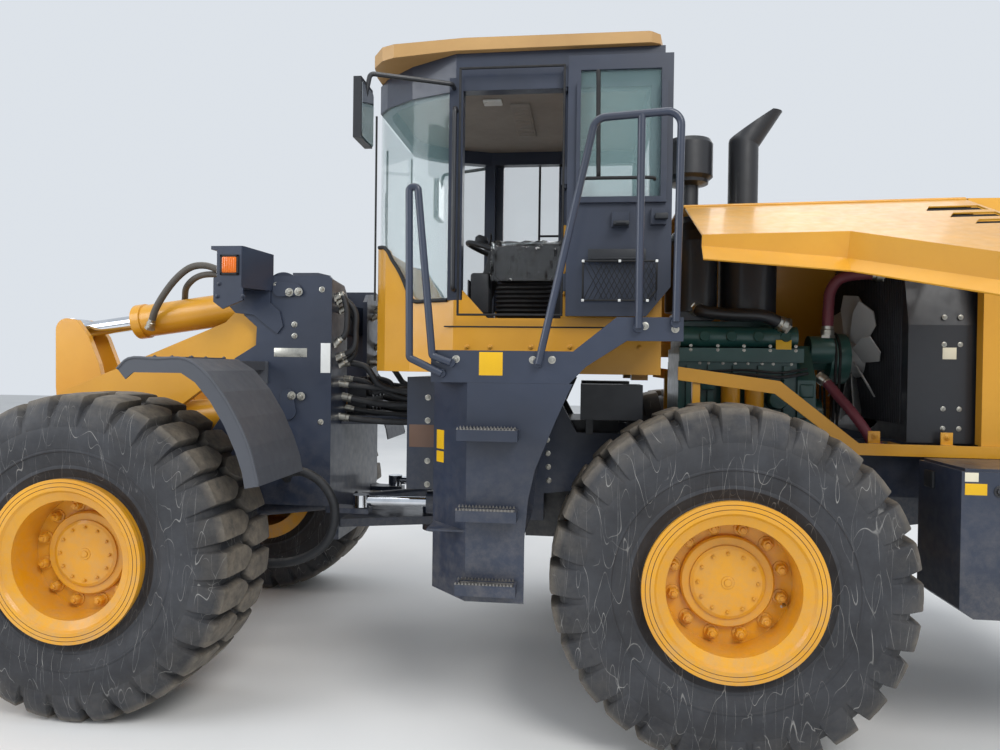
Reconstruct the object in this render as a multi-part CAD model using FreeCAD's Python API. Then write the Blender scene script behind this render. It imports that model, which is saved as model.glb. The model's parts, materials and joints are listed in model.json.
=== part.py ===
import FreeCAD, Part
import os
from math import atan2, cos, degrees, hypot, pi, radians, sin, tan

# Wheel loader, full size, in millimetres: +X forward, +Y to the machine's left, +Z up.
# All places below are measured from the steering pivot's vertical axis (X 0, Y 0) and the ground
# (Z 0); at the end every piece moves along X so that the origin lies under the middle of the machine.

# Driving dimensions: wheels and stance
TYRE_R = 800.0
TYRE_HALF = 285.0
TREAD_HALF = 262.0
LUG_COUNT = 28
LUG_HEIGHT = 42.0
RIM_SEAT_R = 322.0
RIM_FLANGE_R = 395.0
RIM_OUT = 300.0
AXLE_TO_PIVOT = 1550.0
TRACK_HALF = 1095.0
HUB_Z = TYRE_R
RUN_GAP = 0.3
SIDE_GAP = 6.0
PIN_GAP = 0.5

# Linkage pins, (x, z) seen from the side
BOOM_PIVOT = (870.0, 2190.0)
BUCKET_PIN = (2800.0, 300.0)
CRANK_PIVOT = (2380.0, 1340.0)
CRANK_TOP = (2500.0, 1960.0)
CRANK_FOOT = (2424.0, 495.0)
LINK_EYE = (3055.0, 550.0)
LIFT_BASE = (815.0, 1480.0)
LIFT_EYE = (2030.0, 1385.0)

# Steering cylinder pins, (x, y) seen from above, and their height
STEER_REAR = (-620.0, 330.0)
STEER_FRONT = (400.0, 400.0)
STEER_Z = 955.0

# Front frame and boom planes across the machine
TOWER_OUT = 490.0
TOWER_T = 34.0
TOWER_TOP = 2270.0
FLANGE_IN = 210.0
ARM_IN = 395.0
ARM_T = 45.0
LIFT_Y = 288.0
PIN_R = 45.0
ARM_PIN_R = 50.0
LIFT_EYE_HALF = 55.0
TILT_EYE_HALF = 60.0
STEER_EYE_HALF = 35.0
CRANK_IN = 76.0
CRANK_OUT = 116.0

# Steering hinge: heights of the front frame's two tongues, and the drive shaft through it
HINGE_LEVELS = ((1395.0, 1445.0), (770.0, 820.0))
FORK_GAP = 6.0
FORK_T = 45.0
HINGE_PIN_R = 55.0
SHAFT_Z = 935.0
SHAFT_R = 45.0

# Bucket
BUCKET_HALF = 1508.0
BUCKET_TIP_X = 4050.0
BUCKET_FLOOR_Z = 8.0

# Rear end
TAIL_X = -3800.0
RAIL_Y = 400.0
RAIL_T = 40.0
SILL_Y = 700.0

# Cab
CAB_Y = 750.0
CAB_REAR = -1290.0
CAB_FLOOR_Z = 1722.0
POST = 70.0
GLASS_T = 8.0

# Platforms and ladders
PLATFORM_Y = 1330.0
LADDER_BOTTOM = 690.0

# Hood
HOOD_FRONT = -1424.0
HOOD_REAR = -3640.0
HINGE_Y = 500.0
HINGE_Z = 2642.0
HOOD_OPEN = 52.0
HINGE_NOSE = 10.0
FAN_Z = 1830.0
FAN_R = 385.0
FAN_BLADES = 9

# The raised lid reaches past the bucket on the left, so the box's middle lies left of the centre plane
LID_REACH = 1616.9
SHIFT_X = -(BUCKET_TIP_X + TAIL_X) / 2
SHIFT_Y = -(LID_REACH - BUCKET_HALF) / 2
V = FreeCAD.Vector
X_AXIS, Y_AXIS, Z_AXIS = V(1, 0, 0), V(0, 1, 0), V(0, 0, 1)
nodes = {}


# Helpers that make plain solids

def box(x0, x1, y0, y1, z0, z1):
    return Part.makeBox(x1 - x0, y1 - y0, z1 - z0, V(x0, y0, z0))


def flat(points, step):
    """Prism of a closed outline of vectors, moved along one vector."""
    return Part.Face(Part.makePolygon(points + [points[0]])).extrude(step)


def side_plate(outline, y0, y1):
    """Plate with an outline of (x, z) points, from y0 to y1."""
    return flat([V(x, y0, z) for x, z in outline], V(0, y1 - y0, 0))


def plan_plate(outline, z0, z1):
    """Plate with an outline of (x, y) points, from z0 to z1."""
    return flat([V(x, y, z0) for x, y in outline], V(0, 0, z1 - z0))


def cross_plate(outline, x0, x1):
    """Plate with an outline of (y, z) points, from x0 to x1."""
    return flat([V(x0, y, z) for y, z in outline], V(x1 - x0, 0, 0))


def rod(start, end, r):
    """Round bar between two points."""
    a, b = V(*start), V(*end)
    return Part.makeCylinder(r, (b - a).Length, a, b - a)


def turned_z(profile, x, y):
    """Solid turned about a vertical axis at (x, y); profile is (r, z) points."""
    face = Part.Face(Part.makePolygon([V(r, 0, z) for r, z in profile + [profile[0]]]))
    return face.revolve(V(0, 0, 0), Z_AXIS, 360).translated(V(x, y, 0))


def pin_y(at, r, y0, y1):
    """Round bar along Y at an (x, z) place."""
    return rod((at[0], y0, at[1]), (at[0], y1, at[1]), r)


def oblong(a, ra, b, rb, y0, y1):
    """Plate with two round ends at (x, z) places."""
    turn = atan2(b[1] - a[1], b[0] - a[0])
    side = []
    for at, r, way in ((a, ra, 1), (b, rb, 1), (b, rb, -1), (a, ra, -1)):
        side.append((at[0] - way * r * sin(turn), at[1] + way * r * cos(turn)))
    return fuse(pin_y(a, ra, y0, y1), pin_y(b, rb, y0, y1), side_plate(side, y0, y1))


def turned(profile, at):
    """Solid turned about a wheel axis along Y through the point at; profile is (y, r) points."""
    face = Part.Face(Part.makePolygon([V(0, y, r) for y, r in profile + [profile[0]]]))
    solid = face.revolve(V(0, 0, 0), Y_AXIS, 360)
    return solid.translated(V(*at))


def bent_tube(points, r, bend):
    """Round tube along straight runs joined by tangent arcs of one bend radius."""
    pts = [V(*p) for p in points]
    edges = []
    last = pts[0]
    for before, corner, after in zip(pts, pts[1:], pts[2:]):
        d_in = (corner - before).normalize()
        d_out = (after - corner).normalize()
        turn = d_in.getAngle(d_out)
        cut = bend * tan(turn / 2)
        start, end = corner - d_in * cut, corner + d_out * cut
        middle_dir = (d_out - d_in).normalize()
        middle = corner + middle_dir * (bend / cos(turn / 2) - bend)
        edges.append(Part.LineSegment(last, start).toShape())
        edges.append(Part.Arc(start, middle, end).toShape())
        last = end
    edges.append(Part.LineSegment(last, pts[-1]).toShape())
    first_dir = pts[1] - pts[0]
    ring = Part.Wire(Part.makeCircle(r, pts[0], first_dir))
    return Part.Wire(edges).makePipeShell([ring], True, False)


def fuse(first, *others):
    """One solid from touching ones, without seams between their flat faces."""
    return first.multiFuse(list(others)).removeSplitter() if others else first


def together(*solids):
    """Several solids that do not touch, kept as one node."""
    return Part.makeCompound(list(solids))


def mirrored(shape):
    return shape.mirror(V(0, 0, 0), Y_AXIS)


def both_sides(shape):
    return together(shape, mirrored(shape))


def length(a, b):
    return hypot(b[0] - a[0], b[1] - a[1])


# Wheels: tyre with staggered shoulder-to-centre lugs, and the rim with its planetary hub

def make_tyre():
    base_r = TYRE_R - LUG_HEIGHT
    widest_r = (base_r + RIM_SEAT_R) / 2
    bead_y = RIM_OUT - 65
    inner = V(0, bead_y, RIM_SEAT_R)
    bead = V(0, bead_y, RIM_FLANGE_R + 5)
    wall_end = V(0, TREAD_HALF, base_r - 45)
    crown = V(0, TREAD_HALF - 45, base_r)
    half = [Part.LineSegment(inner, bead).toShape(),
            Part.Arc(bead, V(0, TYRE_HALF, widest_r), wall_end).toShape(),
            Part.LineSegment(wall_end, crown).toShape()]
    flip = FreeCAD.Matrix()
    flip.A22 = -1
    other = [e.transformGeometry(flip) for e in reversed(half)]
    top = Part.LineSegment(crown, V(0, -crown.y, crown.z)).toShape()
    foot = Part.LineSegment(V(0, -inner.y, inner.z), inner).toShape()
    face = Part.Face(Part.Wire(Part.__sortEdges__(half + [top] + other + [foot])))
    carcass = face.revolve(V(0, 0, 0), Y_AXIS, 360)
    # a lug's section, (y, r), from beside the centre line over the shoulder and down the wall
    section = [(18, base_r - 8), (18, TYRE_R), (TREAD_HALF - 32, TYRE_R), (TYRE_HALF + 4, TYRE_R - 82),
               (TYRE_HALF + 2, TYRE_R - 150), (TREAD_HALF - 30, TYRE_R - 150), (TREAD_HALF - 60, base_r - 8)]
    plan = [(-34, 10), (56, 10), (58, 130), (64, 235), (64, TYRE_HALF + 20), (-64, TYRE_HALF + 20),
            (-64, 235), (-54, 130)]
    lug = flat([V(-90, y, r) for y, r in section], V(180, 0, 0)).common(plan_plate(plan, 500, TYRE_R + 10))
    pitch = 360.0 / LUG_COUNT
    lugs = []
    for i in range(LUG_COUNT):
        for shape, offset in ((lug, 180.0), (mirrored(lug), 180.0 + pitch / 2)):
            one = shape.copy()
            one.rotate(V(0, 0, 0), Y_AXIS, offset + i * pitch)
            lugs.append(one)
    return carcass.multiFuse(lugs)


def make_rim():
    seat, lip = RIM_SEAT_R, RIM_FLANGE_R
    opening = 288.0
    disc_front, disc_back = 95.0, 60.0
    hub_face, cover_face = 125.0, 138.0
    profile = [(RIM_OUT, 340), (RIM_OUT, lip), (RIM_OUT - 20, lip), (RIM_OUT - 45, lip - 14),
               (RIM_OUT - 65, lip - 14), (RIM_OUT - 65, seat), (65 - RIM_OUT, seat), (65 - RIM_OUT, lip - 14),
               (20 - RIM_OUT, lip), (10 - RIM_OUT, lip), (10 - RIM_OUT, opening + 8),
                (disc_back, opening + 8),
               (disc_back, 0), (cover_face, 0), (cover_face, 150), (cover_face - 6, 166), (hub_face, 166),
               (hub_face, 200), (hub_face - 8, 208), (disc_front, 208), (disc_front, opening),
                (RIM_OUT - 30, opening),
               (RIM_OUT - 12, 330)]
    rim = turned(profile, (0, 0, 0))
    nuts = []
    for i in range(12):
        a = radians(i * 30 + 15)
        nuts.append(Part.makeCylinder(19, 30, V(245 * cos(a), disc_front - 2, 245 * sin(a)), Y_AXIS))
    return fuse(rim, *nuts)


def make_wheels():
    tyre, rim = make_tyre(), make_rim()
    for end, x in (("front", AXLE_TO_PIVOT), ("rear", -AXLE_TO_PIVOT)):
        for side, sign in (("left", 1), ("right", -1)):
            for name, shape in (("tyre", tyre), ("rim", rim)):
                placed = shape if sign > 0 else mirrored(shape)
                nodes[name + "_" + end + "_" + side] = placed.translated(V(x, sign * TRACK_HALF, HUB_Z))


# Axles: banjo housing with tapered arms and a hub flange inside each rim

def make_axle(x, nose_way):
    """Axle at x, its drive snout towards +X or -X as nose_way is 1 or -1."""
    face = TRACK_HALF + 60 - RUN_GAP
    arm = [(0, 0), (0, 215), (190, 200), (330, 150), (640, 125), (700, 135), (760, 215), (face - 40, 215),
           (face - 40, 190), (face, 190), (face, 0)]
    left = turned(arm, (x, 0, HUB_Z))
    way = V(nose_way, 0, 0)
    middle = V(x, 0, HUB_Z)
    drum = Part.makeCylinder(250, 280, middle - way * 140, way)
    bowl = Part.makeCone(250, 200, 80, middle - way * 140, way * -1)
    nose = Part.makeCone(250, 110, 120, middle + way * 140, way)
    snout = Part.makeCylinder(75, 90, middle + way * 260, way)
    return fuse(drum, left, mirrored(left), bowl, nose, snout)


# Front frame: twin towers, cross boxes and the tongues of the steering hinge

def make_front_frame():
    out, inn = TOWER_OUT, TOWER_OUT - TOWER_T
    tower = [(560, 930), (560, 2250), (580, TOWER_TOP), (905, TOWER_TOP), (1000, 2215), (1095, 2040),
             (1014, 1970),
             (1019, 1863), (1149, 1784), (1190, 1500), (1330, 1290), (1900, 1230), (1960, 1120), (1880, 985),
             (1100, 930)]
    plate = side_plate(tower, inn, out)
    flange = cross_plate([(FLANGE_IN, 1290), (FLANGE_IN, 2180), (FLANGE_IN + 60, 2235), (inn, 2250),
                          (inn, 1290)], 560, 590)
    boss_a = pin_y(BOOM_PIVOT, 105, ARM_IN + ARM_T + SIDE_GAP, inn)
    keep_a = oblong(BOOM_PIVOT, 44, (776, 2188), 34, out, out + 14)
    pin_a = pin_y(BOOM_PIVOT, ARM_PIN_R, ARM_IN - 20, inn)
    boss_d = pin_y(LIFT_BASE, 85, LIFT_Y + LIFT_EYE_HALF + SIDE_GAP, inn)
    keep_d = oblong(LIFT_BASE, 50, (822, 1570), 40, out, out + 14)
    pin_d = pin_y(LIFT_BASE, PIN_R, LIFT_Y - LIFT_EYE_HALF, inn)
    half = [plate, flange, boss_a, keep_a, pin_a, boss_d, keep_d, pin_d]
    halves = half + [mirrored(s) for s in half]
    rear_wall = box(560, 600, -inn, inn, 930, 1460)
    top_box = box(640, 760, -inn, inn, 1960, 2150)
    mid_box = box(600, 700, -inn, inn, 1290, 1420)
    floor = box(600, 1880, -inn, inn, 985, 1015)
    front_wall = box(1840, 1880, -inn, inn, 1015, 1120)
    ear_in = TILT_EYE_HALF + SIDE_GAP
    ear = side_plate([(700, 1985), (700, 2165), (815, 2248), (925, 2132), (800, 1985)], ear_in, ear_in + 40)
    ear = ear.fuse(pin_y(BOOM_PIVOT, 80, ear_in, ear_in + 40))
    tilt_pin = pin_y(BOOM_PIVOT, PIN_R, -ear_in - 40, ear_in + 40)
    tongues = []
    for z0, z1 in HINGE_LEVELS:
        tongue = plan_plate([(0, -115), (0, 115), (560, 300), (560, -300)], z0, z1)
        tongue = tongue.fuse(Part.makeCylinder(115, z1 - z0, V(0, 0, z0)))
        tongues.append(tongue.cut(Part.makeCylinder(HINGE_PIN_R + PIN_GAP, z1 - z0, V(0, 0, z0))))
    post = box(560, 600, -330, 330, 700, 930)
    steer = []
    lug_top = STEER_Z - STEER_EYE_HALF - SIDE_GAP
    for sign in (1, -1):
        x, y = STEER_FRONT[0], sign * STEER_FRONT[1]
        lug = plan_plate([(x - 55, y - 45), (x - 55, y + 45), (560, y + 50), (560, y - 80)], lug_top - 30,
                         lug_top)
        steer.append(lug)
        steer.append(box(560, 600, y - 80, y + 50, lug_top - 30, 935))
    shape = fuse(rear_wall, top_box, mid_box, floor, front_wall, tilt_pin, ear, mirrored(ear), post, *tongues,
                 *steer,
                 *halves)
    room = rod((1240, 0, HUB_Z), (-100, 0, SHAFT_Z), SHAFT_R + 25)
    return shape.cut(room).cut(make_axle(AXLE_TO_PIVOT, -1))


def make_front():
    nodes["front_frame"] = make_front_frame()
    shaft = rod((AXLE_TO_PIVOT - 340, 0, HUB_Z), (90, 0, SHAFT_Z), SHAFT_R)
    yoke = rod((90, 0, SHAFT_Z), (50, 0, SHAFT_Z), SHAFT_R + 10)
    nodes["front_axle"] = fuse(make_axle(AXLE_TO_PIVOT, -1), shaft, yoke)
    nodes["front_fenders"] = both_sides(make_front_fender())
    nodes["headlamps"] = both_sides(make_headlamp())
    nodes["lamp_lenses"] = both_sides(lamp_room())
    nodes["valve_block"] = make_valve_block()


# Fender line from the axle, drawn round a tyre of this radius; each point keeps its gap when the tyre changes
FENDER_FITS = 800.0
FENDER_LINE = [(-265, 928), (-323, 976), (-606, 976), (-700, 918), (-785, 820), (-860, 700), (-920, 570),
               (-955, 470),
               (-970, 390)]
FENDER_TOP = [(AXLE_TO_PIVOT + x * k, HUB_Z + z * k)
              for x, z in FENDER_LINE for k in [1 + (TYRE_R - FENDER_FITS) / hypot(x, z)]]
FENDER_IN, FENDER_OUT = 860.0, 1390.0


def offset_line(line, d):
    """Open line of (x, z) points moved by d to its right-hand side, with mitred corners."""
    out = []
    for i, (x, z) in enumerate(line):
        dirs = []
        for a, b in ((i - 1, i), (i, i + 1)):
            if a >= 0 and b < len(line):
                dx, dz = line[b][0] - line[a][0], line[b][1] - line[a][1]
                n = hypot(dx, dz)
                dirs.append((dz / n, -dx / n))
        nx, nz = sum(k[0] for k in dirs) / len(dirs), sum(k[1] for k in dirs) / len(dirs)
        n2 = nx * nx + nz * nz
        out.append((x + nx / n2 * d, z + nz / n2 * d))
    return out


def make_front_fender():
    """Bent sheet over the wheel with a folded outer skirt, on a bracket from the tower."""
    t = 8.0
    under = offset_line(FENDER_TOP, -t)
    skirt = offset_line(FENDER_TOP, -70)
    sheet = side_plate(FENDER_TOP + list(reversed(under)), FENDER_IN, FENDER_OUT)
    lip = side_plate(FENDER_TOP + list(reversed(skirt)), FENDER_OUT - t, FENDER_OUT)
    crown = FENDER_TOP[1][1]
    arm = box(960, 1080, TOWER_OUT, FENDER_IN + 40, crown - t - 50, crown - t)
    foot = box(940, 1120, TOWER_OUT, TOWER_OUT + 12, crown - 136, crown - t)
    return fuse(sheet, lip, arm, foot)


def lamp_room():
    """Space of the lamp unit, open forwards and to the outside."""
    return box(1062, 1165, TOWER_OUT + 22, TOWER_OUT + 186, 2240, 2388)


def make_headlamp():
    """Lamp bracket on the tower's shoulder, with the hooded lamp housing on top."""
    y0 = TOWER_OUT
    plate = side_plate([(1185, 2235), (1185, 2095), (1140, 2050), (1030, 2040), (965, 1990), (885, 1930),
                        (850, 1975),
                        (870, 2060), (928, 2110), (928, 2235)], y0, y0 + 12)
    house = side_plate([(915, 2180), (915, 2392), (1010, 2414), (1200, 2414), (1200, 2394), (1165, 2388),
                        (1165, 2240),
                        (1185, 2235), (1185, 2180)], y0, y0 + 190)
    house = house.common(plan_plate([(915, y0), (1020, y0 + 190), (1200, y0 + 190), (1200, y0)], 2100, 2500))
    skirt = side_plate([(1010, 2180), (1185, 2180), (1185, 2100), (1130, 2060), (1010, 2110)], y0 + 176,
                       y0 + 190)
    return fuse(plate, house.cut(lamp_room()), skirt)


def make_valve_block():
    """Main control valve behind the towers, a cast bank of spools with its ports."""
    bank = box(440, 560, -190, 190, 1445, 1630)
    spools = [rod((500, y, 1630), (500, y, 1680), 26) for y in (-130, -45, 45, 130)]
    ports = [rod((440, y, z), (415, y, z), 24) for y in (-120, -40, 40, 120) for z in (1490, 1580)]
    return fuse(bank, *spools, *ports)


# Boom, bell crank, link and bucket

def make_arm():
    outline = [(880, 2268), (990, 2238), (1232, 1998), (2190, 1606), (2300, 1561), (2480, 1420), (2640, 1130),
               (2900, 345), (2880, 225), (2700, 210), (2230, 760), (1950, 1165), (1511, 1497), (1019, 1863),
               (800, 2085)]
    y0, y1 = ARM_IN, ARM_IN + ARM_T
    plate = side_plate(outline, y0, y1)
    plate = plate.fuse(pin_y(BOOM_PIVOT, 84, y0, y1)).fuse(pin_y(BUCKET_PIN, 112, y0, y1))
    plate = plate.cut(pin_y(BOOM_PIVOT, ARM_PIN_R + PIN_GAP, y0,
                            y1)).cut(pin_y(BUCKET_PIN, PIN_R + PIN_GAP, y0, y1))
    boss = pin_y(LIFT_EYE, 90, LIFT_Y + LIFT_EYE_HALF + SIDE_GAP, y0)
    stub = pin_y(CRANK_PIVOT, 105, CRANK_OUT + 2 * SIDE_GAP, y0)
    return fuse(plate, boss, stub)


def make_boom():
    arm = make_arm()
    main_tube = pin_y((2125, 1120), 85, -ARM_IN, ARM_IN)
    back_tube = pin_y((1640, 1690), 65, -ARM_IN, ARM_IN)
    crank_pin = pin_y(CRANK_PIVOT, 50, -CRANK_OUT - 2 * SIDE_GAP, CRANK_OUT + 2 * SIDE_GAP)
    return fuse(arm, mirrored(arm), main_tube, back_tube, crank_pin)


def make_bell_crank():
    outline = [(2578, 1960), (2575, 1590), (2556, 1340), (2505, 900), (2500, 470), (2350, 470), (2300, 900),
               (2215, 1250),
               (2210, 1400), (2235, 1590), (2270, 1740), (2345, 1920), (2430, 2028), (2520, 2035)]
    plate = side_plate(outline, CRANK_IN, CRANK_OUT)
    plate = fuse(plate, pin_y(CRANK_TOP, 78, CRANK_IN, CRANK_OUT), pin_y(CRANK_FOOT, 80, CRANK_IN, CRANK_OUT))
    hub = pin_y(CRANK_PIVOT, 100, -CRANK_OUT, CRANK_OUT)
    foot_pin = pin_y(CRANK_FOOT, PIN_R, -CRANK_IN, CRANK_IN)
    shape = fuse(plate, mirrored(plate), hub, foot_pin)
    return shape.cut(pin_y(CRANK_PIVOT, 50 + PIN_GAP, -CRANK_OUT, CRANK_OUT))


def make_link():
    half = CRANK_IN - SIDE_GAP
    eye_a, eye_b = pin_y(CRANK_FOOT, 78, -half, half), pin_y(LINK_EYE, 72, -half, half)
    dx, dz = LINK_EYE[0] - CRANK_FOOT[0], LINK_EYE[1] - CRANK_FOOT[1]
    n = hypot(dx, dz)
    ux, uz = -dz / n * 55, dx / n * 55
    a, b = CRANK_FOOT, LINK_EYE
    bar = side_plate([(a[0] + ux, a[1] + uz), (b[0] + ux, b[1] + uz), (b[0] - ux, b[1] - uz),
                      (a[0] - ux, a[1] - uz)],
                     -half, half)
    shape = fuse(eye_a, eye_b, bar)
    return shape.cut(pin_y(a, PIN_R + PIN_GAP, -half, half))


BUCKET_BACK = [(3150, 8), (3050, 60), (3010, 170), (3080, 330), (3250, 620), (3410, 1000), (3490, 1240)]


def make_bucket():
    lip_x = BUCKET_TIP_X - 150
    t = 32.0
    outer = [(lip_x, BUCKET_FLOOR_Z)] + BUCKET_BACK
    inner = offset_line(outer, t)
    shell = side_plate(outer + list(reversed(inner)), -BUCKET_HALF + t, BUCKET_HALF - t)
    side = outer + [(3560, 1215), (lip_x - 130, 520), (lip_x, 190)]
    cheek = side_plate(side, BUCKET_HALF - t, BUCKET_HALF)
    lug = [(2695, 300), (2705, 235), (2780, 197), (3015, 170), (3085, 330), (3200, 532), (2900, 420),
           (2760, 400)]
    lugs = []
    for y0 in (ARM_IN - SIDE_GAP - 30, ARM_IN + ARM_T + SIDE_GAP):
        lugs.append(fuse(side_plate(lug, y0, y0 + 30), pin_y(BUCKET_PIN, 105, y0, y0 + 30)))
    bucket_pin = pin_y(BUCKET_PIN, PIN_R, ARM_IN - SIDE_GAP - 30, ARM_IN + ARM_T + SIDE_GAP + 30)
    top_lug = fuse(side_plate([(2985, 545), (3005, 605), (3060, 624), (3335, 810), (3260, 625), (3090, 340),
                               (3020, 470)],
                              CRANK_IN + 5, CRANK_OUT + 5),
                   pin_y(LINK_EYE, 75, CRANK_IN + 5, CRANK_OUT + 5))
    rib_line = BUCKET_BACK[2:-1]
    rib = side_plate(rib_line + list(reversed(offset_line(rib_line, -38))), -12, 12)
    ribs = [rib.translated(V(0, y, 0)) for y in (760, 1130)]
    cutter = side_plate([(lip_x - 150, 520), (lip_x - 40, 560), (lip_x + 40, 190),
                         (lip_x + 10, BUCKET_FLOOR_Z + 72),
                         (lip_x - 90, BUCKET_FLOOR_Z + 72), (lip_x - 110, 300)], BUCKET_HALF - t - 20,
                         BUCKET_HALF - t)
    half = [cheek, cutter, bucket_pin, top_lug] + lugs + ribs
    return fuse(shell, *half, *[mirrored(s) for s in half])


def make_bucket_teeth():
    """Bolted cutting edge with eight cast teeth along the lip."""
    lip_x = BUCKET_TIP_X - 150
    edge = side_plate([(lip_x, BUCKET_FLOOR_Z), (lip_x + 60, BUCKET_FLOOR_Z), (lip_x, 40)], -BUCKET_HALF,
                      BUCKET_HALF)
    tooth = side_plate([(lip_x - 120, 40), (lip_x, 40), (lip_x, BUCKET_FLOOR_Z),
                        (BUCKET_TIP_X, BUCKET_FLOOR_Z + 6),
                        (BUCKET_TIP_X, 20), (lip_x + 40, 74), (lip_x - 120, 74)], -45, 45)
    end_tooth = BUCKET_HALF - 32 - 50
    pitch = 2 * end_tooth / 7
    teeth = [tooth.translated(V(0, -end_tooth + i * pitch, 0)) for i in range(8)]
    return edge.multiFuse(teeth)


# Hydraulic cylinders: barrel with its base eye, rod with its eye

def make_cylinder(base, eye, across, barrel_len, rod_in, barrel_r, rod_r, eye_r, base_half, eye_half, pin_r):
    """Barrel and rod between two pins; across is the pins' direction. The rod's own pin fills its eye."""
    a, b = V(*base), V(*eye)
    along = (b - a).normalize()
    start = eye_r + 12
    neck = Part.makeCylinder(base_half * 0.92, start + 20, a, along)
    barrel = Part.makeCylinder(barrel_r, barrel_len - start, a + along * start, along)
    gland = Part.makeCylinder(barrel_r + 8, 60, a + along * (barrel_len - 60), along)
    base_eye = Part.makeCylinder(eye_r, 2 * base_half, a - across * base_half, across)
    barrel = fuse(barrel, neck, gland, base_eye)
    barrel = barrel.cut(Part.makeCylinder(pin_r + PIN_GAP, 2 * base_half, a - across * base_half, across))
    barrel = barrel.cut(Part.makeCylinder(rod_r + PIN_GAP, barrel_len, a + along * (start + 40), along))
    tail = barrel_len - rod_in
    bar = Part.makeCylinder(rod_r, (b - a).Length - eye_r * 0.7 - tail, a + along * tail, along)
    rod_eye = Part.makeCylinder(eye_r, 2 * eye_half, b - across * eye_half, across)
    return barrel, fuse(bar, rod_eye)


def make_cylinders():
    (ax, az), (bx, bz) = LIFT_BASE, LIFT_EYE
    n = length(LIFT_BASE, LIFT_EYE)
    barrel, bar = make_cylinder((ax, LIFT_Y, az), (bx, LIFT_Y, bz), Y_AXIS, n - 140, n - 290, 95, 48, 85,
                                LIFT_EYE_HALF,
                                LIFT_EYE_HALF, PIN_R)
    nodes["lift_barrels"], nodes["lift_rods"] = both_sides(barrel), both_sides(bar)
    (ax, az), (bx, bz) = BOOM_PIVOT, CRANK_TOP
    barrel, bar = make_cylinder((ax, 0, az), (bx, 0, bz), Y_AXIS, 1202, 740, 106, 50, 80, TILT_EYE_HALF,
                                CRANK_IN - SIDE_GAP, PIN_R)
    nodes["tilt_barrel"], nodes["tilt_rod"] = barrel, bar
    for side, sign in (("left", 1), ("right", -1)):
        (ax, ay), (bx, by) = STEER_REAR, STEER_FRONT
        barrel, bar = make_cylinder((ax, sign * ay, STEER_Z), (bx, sign * by, STEER_Z), Z_AXIS, 630, 270, 58,
                                    28, 48,
                                    STEER_EYE_HALF, STEER_EYE_HALF, 25)
        nodes["steer_barrel_" + side], nodes["steer_rod_" + side] = barrel, bar


# Rear frame: forked head, rails, cross members and the sill band under the hood

def make_rear_frame():
    yi, yo = RAIL_Y, RAIL_Y + RAIL_T
    rail = side_plate([(-250, 1040), (-250, 1690), (-700, 1690), (-860, 1390), (-3600, 1390), (-3600, 1080),
                       (-1000, 1080),
                       (-700, 1040)], yi, yo)
    head = side_plate([(120, 1040), (120, 1690), (-250, 1690), (-250, 1040)], yi, yo)
    wall = box(-290, -250, -yi, yi, 1040, 1690)
    top = box(-250, 110, -yi, yi, 1665, 1690)
    web = box(-420, -250, -165, 165, 715, 1500)
    cross = [box(x - 40, x, -yi, yi, 1100, 1250) for x in (-1250, -2450, -3500)]
    forks, pins = [], []
    for z0, z1 in HINGE_LEVELS:
        for a, b in ((z0 - FORK_GAP - FORK_T, z0 - FORK_GAP), (z1 + FORK_GAP, z1 + FORK_GAP + FORK_T)):
            fork = plan_plate([(-260, -165), (-260, 165), (0, 115), (0, -115)], a, b)
            forks.append(fork.fuse(Part.makeCylinder(115, b - a, V(0, 0, a))))
        low, high = z0 - FORK_GAP - FORK_T - 12, z1 + FORK_GAP + FORK_T + 2
        pins.append(Part.makeCylinder(HINGE_PIN_R, high - low, V(0, 0, low)))
    lugs = []
    lug_top = STEER_Z - STEER_EYE_HALF - SIDE_GAP
    for sign in (1, -1):
        x, y = STEER_REAR[0], sign * STEER_REAR[1]
        y0, y1 = sorted((y, sign * yo))
        lugs.append(box(x - 60, x + 20, y0, y1, lug_top - 30, lug_top))
        lugs.append(Part.makeCylinder(48, 30, V(x, y, lug_top - 30)))
        w0, w1 = sorted((sign * yi, sign * yo))
        lugs.append(box(x - 60, x + 20, w0, w1, lug_top - 30, 1045))
        lugs.append(Part.makeCylinder(25, 2 * STEER_EYE_HALF + 2 * SIDE_GAP, V(x, y, lug_top)))
    hanger = []
    for x0, r in ((-AXLE_TO_PIVOT + 270, 75), (-AXLE_TO_PIVOT - 290, 70)):
        plate = cross_plate([(-yi, 1140), (yi, 1140), (yi, 1085), (150, 690), (-150, 690), (-yi, 1085)], x0,
                            x0 + 45)
        hanger.append(plate.cut(Part.makeCylinder(r + RUN_GAP, 60, V(x0 - 5, 0, HUB_Z), X_AXIS)))
    shape = fuse(rail, mirrored(rail), head, mirrored(head), wall, top, web, *cross, *forks, *pins, *lugs,
                 *hanger)
    room = rod((0, 0, SHAFT_Z), (-500, 0, SHAFT_Z), SHAFT_R + 25)
    return shape.cut(room)


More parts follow.
